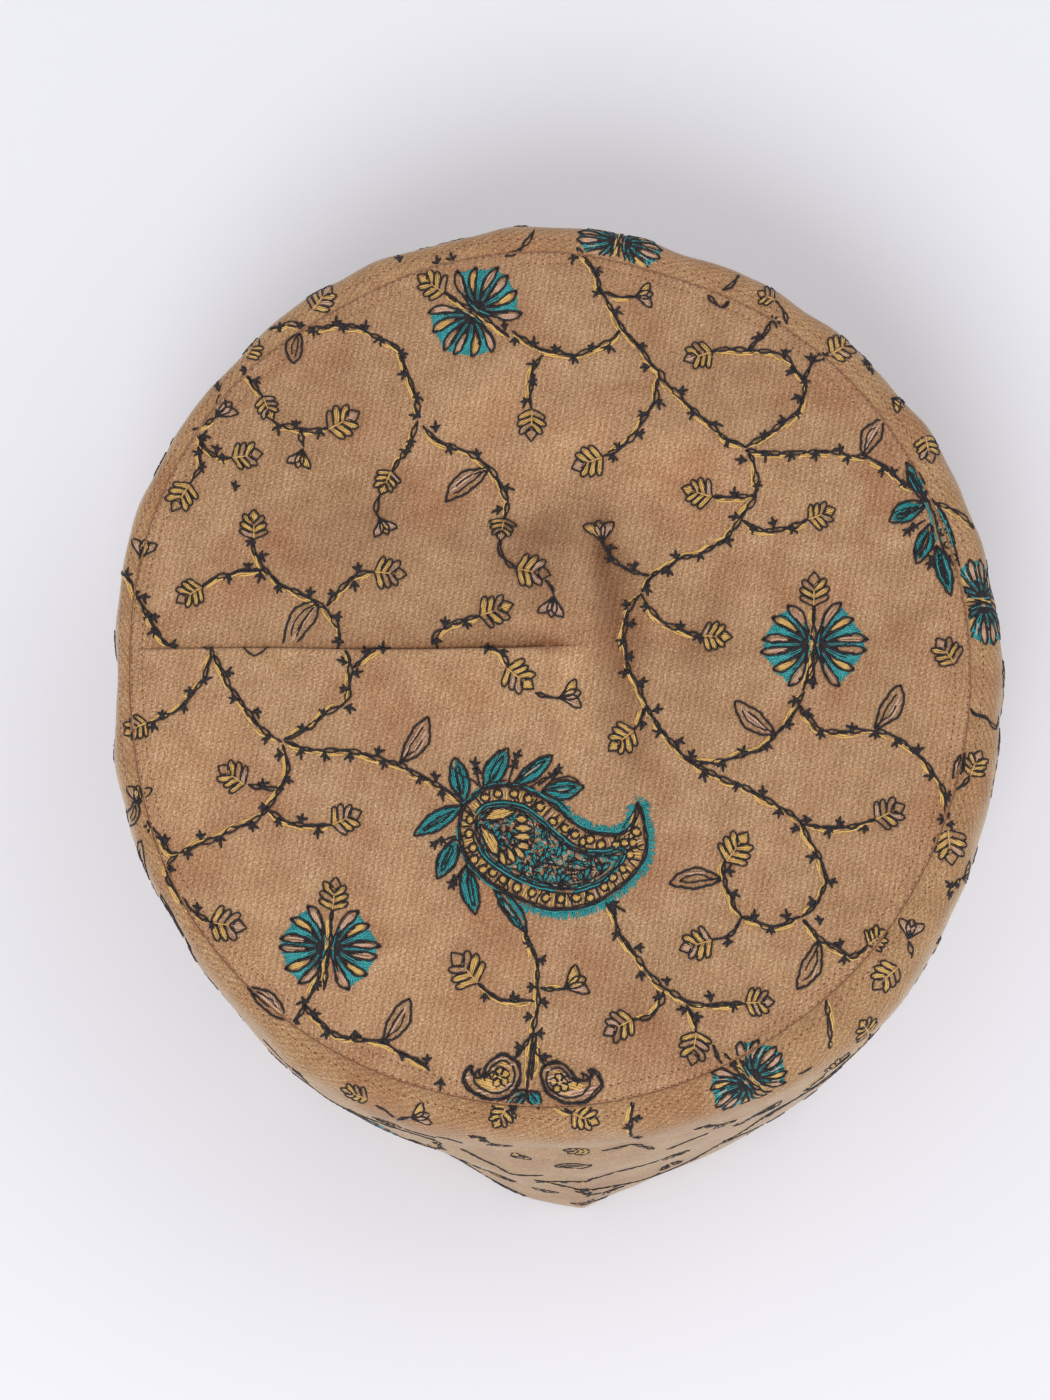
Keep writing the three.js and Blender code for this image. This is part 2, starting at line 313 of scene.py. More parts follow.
def band_section(a, v):
    """Radius and height of the band at angle a, v mm from the seam."""
    ta = np.mod(a, TURN) / TURN * N_TABLE
    i = np.floor(ta).astype(int)
    fa = ta - i
    i, i2 = i % N_TABLE, (i + 1) % N_TABLE
    tv = np.clip(v / V_STEP, 0, BAND_R.shape[1] - 1.001)
    j = np.floor(tv).astype(int)
    fv = tv - j

    def pick(t):
        return ((t[i, j] * (1 - fv) + t[i, j + 1] * fv) * (1 - fa)
                + (t[i2, j] * (1 - fv) + t[i2, j + 1] * fv) * fa)

    return pick(BAND_R), pick(BAND_Z)


def band_long(a):
    t = np.mod(a, TURN) / TURN * N_TABLE
    i = np.floor(t).astype(int)
    f = t - i
    return BAND_LONG[i % N_TABLE] * (1 - f) + BAND_LONG[(i + 1) % N_TABLE] * f


def band_point(u, v):
    a = u / BAND_ROUND
    r, z = band_section(a, v)
    return np.stack([r * np.cos(a), r * np.sin(a), z], -1)


def band_place(u, v, h):
    """A point h outside the band's cloth at (u, v), and the cloth's normal there. u runs round, v down."""
    e = 0.5
    p = band_point(u, v)
    pu = band_point(u + e, v) - band_point(u - e, v)
    pv = band_point(u, v + e) - band_point(u, np.maximum(v - e, 0))
    n = -np.cross(pu, pv)
    n /= np.linalg.norm(n, axis=-1, keepdims=True) + 1e-12
    return p + n * np.asarray(h)[..., None], n


# ---------------------------------------------------------------------------------------------------------
# The camera, and where a picture point lies on the cloth
# ---------------------------------------------------------------------------------------------------------
CAM = np.array([-7.2218, -188.5517, 805.949])
CAM_ELEVATION = 76.0
FOCAL = 3531.0
PIC_MIDDLE = (525.0, 700.0)
PX = 4.7  # picture points per mm on the crown
_e = math.radians(CAM_ELEVATION)
LOOK = np.array([0.0, math.cos(_e), -math.sin(_e)])
RIGHT = np.array([1.0, 0.0, 0.0])
UPWARD = np.array([0.0, math.sin(_e), math.cos(_e)])


def project(p):
    q = p - CAM
    depth = q @ LOOK
    return PIC_MIDDLE[0] + FOCAL * (q @ RIGHT) / depth, PIC_MIDDLE[1] - FOCAL * (q @ UPWARD) / depth


def crown_from_picture(px, py):
    """Plan (x, y) of picture points, by laying each sight line on the crown."""
    ray = (FOCAL * LOOK[None] + RIGHT[None] * (px - PIC_MIDDLE[0])[:, None]
           - UPWARD[None] * (py - PIC_MIDDLE[1])[:, None])
    z = np.full(len(px), 81.0)
    for _ in range(7):
        t = (z - CAM[2]) / ray[:, 2]
        x, y = CAM[0] + t * ray[:, 0], CAM[1] + t * ray[:, 1]
        z = 0.5 * z + 0.5 * crown_height(x, y, fine=False)
    return x, y


_ga, _gv = np.meshgrid(np.arange(0, 720) * TURN / 720, np.arange(0.0, 94.0, 1.0), indexing="ij")
_gu = _ga * BAND_ROUND
_gp, _gn = band_place(_gu, _gv, np.zeros_like(_gu))
_gx, _gy = project(_gp)
_seen = ((CAM - _gp) * _gn).sum(-1) > 0


def band_from_picture(px, py):
    """(u, v) on the band of picture points, the nearest point that faces the camera."""
    us, vs = [], []
    for x, y in zip(np.atleast_1d(px), np.atleast_1d(py)):
        miss = np.where(_seen, (_gx - x) ** 2 + (_gy - y) ** 2, 1e9)
        k = np.unravel_index(np.argmin(miss), miss.shape)
        u, v = _gu[k], _gv[k]
        for _ in range(4):
            q = np.array([[u, v], [u + 0.3, v], [u, v + 0.3]])
            sx, sy = project(band_point(q[:, 0], q[:, 1]))
            jac = np.array([[sx[1] - sx[0], sx[2] - sx[0]], [sy[1] - sy[0], sy[2] - sy[0]]]) / 0.3
            try:
                step = np.linalg.solve(jac, np.array([x - sx[0], y - sy[0]]))
            except np.linalg.LinAlgError:
                break
            step = np.clip(step, -2.0, 2.0)
            u, v = u + step[0], float(np.clip(v + step[1], 0.0, 93.0))
        us.append(u)
        vs.append(v)
    return np.array(us), np.array(vs)


# ---------------------------------------------------------------------------------------------------------
# Threads. Strokes are drawn as complex numbers with the real part across and the imaginary part up:
# "crown" strokes are picture points / PX, "band" strokes are u - iv in mm.
# ---------------------------------------------------------------------------------------------------------
rng = np.random.default_rng(20260)
STROKES = []  # (panel, colour, points in panel mm (n, 2), half width, half height, lift, stitch)
GAP = 0.3  # threads of the crown stop this far inside the seam


def resample(line, step):
    seg = np.abs(np.diff(line))
    arc = np.concatenate([[0], np.cumsum(seg)])
    n = max(2, int(math.ceil(arc[-1] / step)) + 1)
    s = np.linspace(0, arc[-1], n)
    return np.interp(s, arc, line.real) + 1j * np.interp(s, arc, line.imag)


def curve(points, step=0.55, closed=False):
    """A smooth line through the points, at even steps."""
    p = np.asarray(points, complex)
    if len(p) < 3:
        return resample(p, step)
    if closed:
        p = np.concatenate([p[-1:], p, p[:2]])
    else:
        p = np.concatenate([[2 * p[0] - p[1]], p, [2 * p[-1] - p[-2]]])
    out = []
    for i in range(1, len(p) - 2):
        t = np.linspace(0, 1, 9)[:-1]
        p0, p1, p2, p3 = p[i - 1:i + 3]
        out.append(0.5 * (2 * p1 + (p2 - p0) * t + (2 * p0 - 5 * p1 + 4 * p2 - p3) * t ** 2
                          + (3 * p1 - p0 - 3 * p2 + p3) * t ** 3))
    out.append(p[-2:-1])
    return resample(np.concatenate(out), step)


def lie(space, line):
    """Splits a stroke into runs that lie on one cloth, in that cloth's own mm."""
    if space == "band":
        return [("band", np.stack([line.real, -line.imag], -1))]
    px, py = line.real * PX, -line.imag * PX
    x, y = crown_from_picture(px, py)
    room = table_at(SEAM_R, np.arctan2(y, x)) - np.hypot(x, y)
    on_crown = room > GAP
    runs = []
    start = 0
    for k in range(1, len(line) + 1):
        if k == len(line) or on_crown[k] != on_crown[start]:
            if k - start >= 2:
                if on_crown[start]:
                    runs.append(("crown", np.stack([x[start:k], y[start:k]], -1)))
                elif room[start:k].max() < GAP:
                    far = room[start:k] < 0.2
                    if far.sum() >= 2:
                        u, v = band_from_picture(px[start:k][far], py[start:k][far])
                        v = np.where(v > 6, 6 + 5 * (1 - np.exp(-(np.maximum(v, 6) - 6) / 5)), v)  # stays near the seam
                        runs.append(("band", np.stack([u, np.maximum(v, 0.3)], -1)))
            start = k
    return runs


BAND_TAKEN = np.zeros((310, 50), bool)  # which 2 mm squares of the band already hold motifs


def thread(space, colour, line, w=0.26, h=0.22, lift=0.26, stitch=2.4):
    for panel, uv in lie(space, line):
        if panel == "band":
            long = band_long(uv[:, 0] / BAND_ROUND)
            keep = (uv[:, 1] > 0.25) & (uv[:, 1] < long - 1.6)
            idx = np.flatnonzero(keep)
            if len(idx) < 2:
                continue
            for run in np.split(idx, np.flatnonzero(np.diff(idx) > 1) + 1):
                if len(run) >= 2:
                    part = uv[run]
                    STROKES.append((panel, colour, part, w, h, lift, stitch))
                    i = np.mod(part[:, 0] / 2, 305).astype(int)
                    j = np.clip(part[:, 1] / 2, 0, 49).astype(int)
                    BAND_TAKEN[i, j] = True
        else:
            STROKES.append((panel, colour, uv, w, h, lift, stitch))


def sway(n, size, step=0.55, wave=4.5):
    """A small uneven wander, as of stitches set by hand."""
    s = np.arange(n) * step
    a, b, c = rng.uniform(0, TURN, 3)
    return size * (0.6 * np.sin(s * TURN / wave + a) + 0.4 * np.sin(s * TURN / (wave * 0.43) + b)
                   + 0.3 * np.sin(s * TURN / (wave * 2.3) + c))


def across(line):
    t = np.gradient(line)
    return 1j * t / (np.abs(t) + 1e-9)


def ink(space, points, w=0.25, closed=False, step=0.55, lift=0.34, wander=0.07):
    line = curve(points, step, closed)
    line = line + across(line) * sway(len(line), wander)
    thread(space, "ink", line, w=w, h=0.22, lift=lift)


def hatch(poly, direction, gap):
    """Parallel segments that fill a closed outline."""
    p = np.asarray(poly, complex) / direction
    x, y = p.real, p.imag
    x2, y2 = np.roll(x, -1), np.roll(y, -1)
    out = []
    rows = np.arange(y.min() + gap * 0.5, y.max(), gap)
    for row in rows:
        hit = (y <= row) != (y2 <= row)
        if hit.sum() < 2:
            continue
        cut = np.sort(x[hit] + (row - y[hit]) / (y2[hit] - y[hit]) * (x2[hit] - x[hit]))
        for a, b in zip(cut[::2], cut[1::2]):
            if b - a > 0.35:
                out.append((complex(a, row) * direction, complex(b, row) * direction))
    return out


def satin(space, colour, poly, direction, gap=0.46, inset=0.12, ragged=0.18, lift=0.13, share=1.0, w=None):
    """Fills an outline with close parallel threads."""
    direction = direction / abs(direction)
    for a, b in hatch(poly, direction, gap):
        if rng.random() > share:
            continue
        d = (b - a) / abs(b - a)
        a2 = a + d * (inset + rng.uniform(-ragged, ragged) * 0.6)
        b2 = b - d * (inset + rng.uniform(-ragged, ragged) * 0.6)
        if abs(b2 - a2) < 0.4:
            continue
        mid = (a2 + b2) / 2 + 1j * d * rng.uniform(-0.06, 0.06)
        step = max(0.7, min(1.3, abs(b2 - a2) / 3))
        line = curve([a2, mid, b2], step)
        thread(space, colour, line, w=w or gap * 0.56, h=0.17, lift=lift + rng.uniform(-0.03, 0.03), stitch=0)


# ---------------------------------------------------------------------------------------------------------
# Motifs
# ---------------------------------------------------------------------------------------------------------
def stem(space, points, yellow=0, strong=1.0, twist=1.0):
    line = curve(points, 0.6)
    n = len(line)
    if n < 4:
        return
    s = np.arange(n) * 0.6
    ends = smooth(s / 2.0) * smooth((s[-1] - s) / 2.0)
    side = across(line)
    a, b, c = rng.uniform(0, TURN, 3)
    wave = (0.36 * np.sin(s * TURN / 9.6 + a) + 0.13 * np.sin(s * TURN / 3.7 + b)) * twist
    wave = wave + sway(n, 0.07, 0.6, 2.6)
    thread(space, "ink", line + side * wave * (0.3 + 0.7 * ends), w=0.26 * strong, lift=0.36)
    other = -wave * 0.95 + 0.20 * np.sin(s * TURN / 12.0 + c)
    thread(space, "ink", line + side * other * (0.3 + 0.7 * ends), w=0.20 * strong, lift=0.30)
    if yellow:
        toward = np.real(side * np.conj(yellow / abs(yellow)))
        sign = np.where(toward >= 0, 1.0, -1.0)
        sign = np.convolve(np.pad(sign, 4, mode="edge"), np.ones(9) / 9, mode="valid")
        fade = 0.35 + 0.65 * ends
        for off, w in ((0.46, 0.27), (0.86, 0.24)):
            wob = sway(n, 0.11, 0.6, 5.0)
            k = 1 if off < 0.8 else min(3, n // 4)
            while k < n - 2:  # in lengths of a few millimetres, as the stitches go in and out
                m = min(n - 1, k + int(rng.integers(7, 15)))
                part = slice(k, m)
                thread(space, "yellow", (line + side * (sign * (off + 0.15 * np.sin(s * TURN / 9 + a)) * fade + wob))[part],
                       w=w * rng.uniform(0.85, 1.1), h=0.19, lift=0.17, stitch=0)
                k = m + (1 if off < 0.8 or rng.random() < 0.5 else int(rng.integers(2, 5)))


def tick(space, at, d):
    d = d / abs(d)
    base = at - d * 1.25
    fan = rng.uniform(-12, 12)
    for angle, long in ((-37 + fan, 1.8), (0 + fan, 2.3), (35 + fan, 1.85)):
        e = d * np.exp(1j * math.radians(angle + rng.uniform(-8, 8)))
        long *= rng.uniform(0.85, 1.2)
        tip = base + e * long
        mid = base + (d * 0.55 + e * 0.45) * long * 0.5
        thread(space, "ink", curve([base, mid, tip], 0.42), w=0.30, h=0.2, lift=0.38, stitch=0)


LOBE = [(0.00, 0.015), (0.06, 0.15), (0.125, 0.31), (0.19, 0.44), (0.275, 0.49), (0.335, 0.44), (0.31, 0.30),
        (0.25, 0.15), (0.205, 0.015)]


def bud(space, base, tip, wide=1.0, bare=0.30):
    """Three tiers of paired lobes and a pointed tip."""
    long = abs(tip - base)
    d = (tip - base) / long
    wide = wide * long * 0.93

    def at(a, b):
        return base + d * (a * long + 1j * b * wide)

    tiers = (0.0, 0.19, 0.36) if long > 4.9 else (0.02, 0.28)
    lean = rng.uniform(-0.05, 0.05)
    for k, start in enumerate(tiers):
        shrink = (1.0, 0.96, 0.80)[k]
        steep = (0.96, 1.06, 1.30)[k] if len(tiers) > 2 else 1.35
        for sign in (1, -1):
            jit = rng.uniform(0.90, 1.08)
            rise = steep * (1 + sign * lean) * rng.uniform(0.93, 1.07)
            outline = [at(start + a * rise, sign * b * shrink * jit) for a, b in LOBE]
            ray = at(start + 0.27 * rise, sign * 0.47 * shrink) - at(start + 0.02, 0)
            if rng.random() > bare:
                satin(space, "yellow", curve(outline, 0.4), ray, gap=0.42, inset=0.16)
            elif rng.random() < 0.45:
                satin(space, "beige", curve(outline, 0.4), ray, gap=0.46, inset=0.2, share=0.8)
            ink(space, outline, w=0.20, step=0.5, wander=0.06)
    low = 0.52 if len(tiers) > 2 else 0.50
    left = [at(low, 0), at((low + 1) / 2 - 0.02, 0.185), at(1.0, 0.0)]
    right = [at(low, 0), at((low + 1) / 2 - 0.02, -0.185), at(1.0, 0.0)]
    if rng.random() > 0.40:
        satin(space, "yellow" if rng.random() < 0.7 else "beige", left + right[1:2], d, gap=0.42, inset=0.2)
    ink(space, left, w=0.20, step=0.4, wander=0.04)
    ink(space, right, w=0.20, step=0.4, wander=0.04)
    thread(space, "yellow", curve([at(0.0, 0.01), at(0.3, 0.0), at(0.5, 0.0)], 0.7), w=0.2, h=0.16, lift=0.16)


def petal_outline(base, tip, width, belly=0.0, widest=0.62, n=9):
    """Both edges of a pointed petal from base to tip."""
    d = tip - base
    t = np.linspace(0, 1, n)
    body = np.sin(np.pi * t ** (math.log(0.5) / math.log(widest))) ** 0.85
    mid = base + d * t + 1j * d * belly * np.sin(np.pi * t)
    side = 1j * d / abs(d)
    return mid + side * body * width / 2, mid - side * body * width / 2


def tulip(space, base, tip, spread=1.0):
    long = abs(tip - base)
    d = (tip - base) / long
    for angle, share, belly in ((-36, 0.98, 0.14), (32, 1.0, -0.14), (-3, 0.93, 0.0)):
        e = d * np.exp(1j * math.radians(angle * spread + rng.uniform(-4, 4)))
        end = base + e * long * share
        up, down = petal_outline(base, end, long * 0.40, belly)
        poly = np.concatenate([up, down[::-1]])
        satin(space, "beige" if rng.random() < 0.72 else "yellow", poly, e, gap=0.44, inset=0.3)
        ink(space, up, w=0.22, step=0.5, wander=0.05)
        ink(space, down, w=0.22, step=0.5, wander=0.05)


def leaf(space, base, tip, width=3.8, belly=0.08):
    d = tip - base
    up, down = petal_outline(base, tip, width, belly, widest=0.52, n=11)
    poly = np.concatenate([up, down[::-1]])
    satin(space, "beige", poly, d, gap=0.70, inset=0.8, ragged=0.6, share=0.34)
    e = d / abs(d)
    ink(space, up, w=0.27, wander=0.17)
    ink(space, down, w=0.27, wander=0.17)
    # a narrow slit inside, drawn round in a thinner strand
    core = base + d * 0.14 + 1j * d * belly * 0.35, base + d * 0.80 + 1j * d * belly * 0.45
    one, two = petal_outline(core[0], core[1], width * 0.36, belly * 0.8, widest=0.55, n=8)
    ink(space, one, w=0.19, wander=0.13, lift=0.33)
    ink(space, two[: int(rng.integers(6, 9))], w=0.17, wander=0.13, lift=0.31)
    ink(space, [base + d * 0.02, base + d * 0.16 + 1j * d * belly * 0.4], w=0.24)


FAN = ((32, 0.93), (57, 0.94), (83, 1.0), (96, 1.0), (120, 0.94), (147, 0.92))


def flower(space, middle, way, radius=10.9, with_bud=True, sides=(1, -1), stem_below=True):
    """A round fan flower: six petals a side, teal between them, a stem and a bud along its axis."""
    d = way / abs(way)

    def at(a, b):
        return middle + d * (a + 1j * b)

    for side in sides:
        sign = -1 if side > 0 else 1
        root = (0.0, sign * 1.25)
        rays = []
        for k, (angle, share) in enumerate(FAN):
            angle, share = angle + rng.uniform(-2.5, 2.5), share * rng.uniform(0.96, 1.03)
            t = math.radians(angle)
            end = (math.cos(t) * radius * share, sign * math.sin(t) * radius * share)
            bend = math.radians((4, 36, 70, 103, 142, 174)[k])
            mid = (root[0] + math.cos(bend) * radius * 0.52, root[1] + sign * math.sin(bend) * radius * 0.46)
            q = np.linspace(0, 1, 11)
            ra = (1 - q) ** 2 * root[0] + 2 * q * (1 - q) * mid[0] + q * q * end[0]
            rb = (1 - q) ** 2 * root[1] + 2 * q * (1 - q) * mid[1] + q * q * end[1]
            line = np.array([at(a, b) for a, b in zip(ra, rb)])
            half = (rng.uniform(0.84, 1.04) * (1.12 if k in (0, 5) else 1.0) * radius / 10.9
                    * np.sin(np.pi * np.clip(q, 0, 1) ** 2.3) ** 0.7)
            side_v = across(line)
            rays.append((line, line + side_v * half, line - side_v * half))
        # teal between neighbouring petals, out to the circle
        for k in range(len(rays) - 1):
            a0, a1 = rays[k][0], rays[k + 1][0]
            inner = [(rays[k][1] if sign * 1 > 0 else rays[k][2]), (rays[k + 1][2] if sign * 1 > 0 else rays[k + 1][1])]
            n_str = 6 if k != 2 else 4
            for m in range(n_str):
                f = (m + 0.5) / n_str
                lo = inner[0] * (1 - f) + inner[1] * f
                cut0 = int(rng.integers(2, 5))
                pts = lo[cut0:]
                pts = np.append(pts, pts[-1] + (pts[-1] - pts[-2]) * rng.uniform(-0.35, 0.25))
                thread(space, "teal", curve(pts, 0.8), w=0.30, h=0.18, lift=0.14, stitch=0)
            for f in (0.18, 0.5, 0.82):
                lo = inner[0] * (1 - f) + inner[1] * f
                ink(space, lo[0:int(rng.integers(5, 9))], w=0.17, wander=0.06, lift=0.27)
            for f in (0.34, 0.66):
                lo = inner[0] * (1 - f) + inner[1] * f
                thread(space, "teal", curve(lo[1:7], 0.8), w=0.17, h=0.18, lift=0.24, stitch=0)
            if radius < 10.2:  # the flowers along the seam are worked closer, in thinner petals
                for f in (0.25, 0.75):
                    lo = inner[0] * (1 - f) + inner[1] * f
                    ink(space, lo[int(rng.integers(2, 5)):], w=0.16, wander=0.10, lift=0.30)
                lo = inner[0] * 0.5 + inner[1] * 0.5
                thread(space, "beige", curve(lo[4:10], 0.8), w=0.19, h=0.18, lift=0.27, stitch=0)
        # the dark heart: short strands of ink and teal over the roots of the petals
        for k, (line, up, down) in enumerate(rays):
            ink(space, line[0:int(rng.integers(5, 7))] + across(line)[0] * rng.uniform(-0.1, 0.1), w=0.17, wander=0.06,
                lift=0.33)
            if k in (0, 5):
                toward = at(0, 0) - line[0]
                for f in (0.35, 0.7):
                    part = line[0:6] + toward * f * np.linspace(1.0, 0.6, 6)
                    thread(space, "teal" if f < 0.5 else "ink", curve(part, 0.8), w=0.2, h=0.18, lift=0.2, stitch=0)
        for k, (line, up, down) in enumerate(rays):
            colour = "yellow" if k in (1, 4) and rng.random() < 0.85 else "beige"
            lean = rng.uniform(-0.22, 0.22)
            for f in (lean - 0.40, lean, lean + 0.40):
                if colour == "beige" and rng.random() < 0.22:
                    continue
                mid_up = line * (1 - abs(f)) + (up if f > 0 else down) * abs(f)
                lo = int(rng.integers(4, 6))
                thread(space, colour, curve(mid_up[lo:10], 0.8), w=0.24, h=0.18, lift=0.17, stitch=0)
            for edge in (up, down):
                ink(space, edge, w=0.235, wander=0.11, lift=0.36)
            double = up if rng.random() < 0.5 else down
            ink(space, (double * 0.70 + line * 0.30)[2:int(rng.integers(8, 10))], w=0.17, wander=0.12, lift=0.33)
            ink(space, [up[9], line[10] + (line[10] - line[9]) * 0.35, down[9]], w=0.24, wander=0.0)
    if stem_below:
        stem(space, [at(-radius * 0.86, 0.25), at(-radius * 0.4, 0.0), at(0, -0.1), at(radius * 0.4, 0.0),
                     at(radius * 0.77, 0)], yellow=1j * d)
    if with_bud:
        bud(space, at(radius * 0.75, 0), at(radius * 1.43, 0), wide=0.98)


def sprig(space, base, tip):
    """A dark twig of three short prongs on a little stalk."""
    d = tip - base
    ink(space, [base, base + d * 0.5], w=0.24)
    tick(space, base + d * 0.8, d)
    tick(space, base + d * 0.55, d * np.exp(0.9j))


def teal_leaf(space, base, tip, width=3.6, dark=0):
    """Teal round a pale slit, outlined twice in ink."""
    d = tip - base
    e = d / abs(d)
    up, down = petal_outline(base, tip, width, rng.uniform(-0.04, 0.04), widest=0.5, n=11)
    poly = np.concatenate([up, down[::-1]])
    satin(space, "teal", poly, d, gap=0.42, inset=0.25, lift=0.15, share=0.92)
    if abs(d) > 4.5 and width > 2.7:
        slit = petal_outline(base + d * 0.16, base + d * 0.84, width * 0.26, 0.0, widest=0.5, n=7)
        satin(space, "beige", np.concatenate([slit[0], slit[1][::-1]]), d, gap=0.40, inset=0.15, lift=0.23, share=0.28)
        ink(space, slit[0], w=0.22, wander=0.16, lift=0.35)
        ink(space, slit[1], w=0.20, wander=0.16, lift=0.35)
    else:
        ink(space, [base + d * 0.1, base + d * 0.4 + 1j * d * 0.02, base + d * 0.78], w=0.19, wander=0.08)
    for edge, sign in ((up, 1), (down, -1)):
        ink(space, edge, w=0.26, wander=0.15)
        part = edge[int(rng.integers(0, 3)):int(rng.integers(8, 11))] + 1j * e * sign * rng.uniform(-0.28, 0.30)
        ink(space, part, w=0.18, wander=0.14, lift=0.32)
    for k in range(4 + dark):
        off = rng.uniform(-0.34, 0.34) * width
        a, b = (0.02, rng.uniform(0.25, 0.42)) if k < 2 else (rng.uniform(0.15, 0.4), rng.uniform(0.6, 0.85))
        ink(space, [base + d * a + 1j * e * off * a * 2, base + d * (a + b) / 2 + 1j * e * off * 0.8, base + d * b + 1j * e * off],
            w=0.15, wander=0.06, lift=0.30)


# ---------------------------------------------------------------------------------------------------------
# The chart, in picture points
# ---------------------------------------------------------------------------------------------------------
def P(x, y):
    return complex(x, -y) / PX


def pts(text):
    return np.array([P(*map(float, pair.split(","))) for pair in text.split()])


WAYS = {"u": 1j, "d": -1j, "l": -1, "r": 1, "ul": -1 + 1j, "ur": 1 + 1j, "dl": -1 - 1j, "dr": 1 - 1j, "": 0}

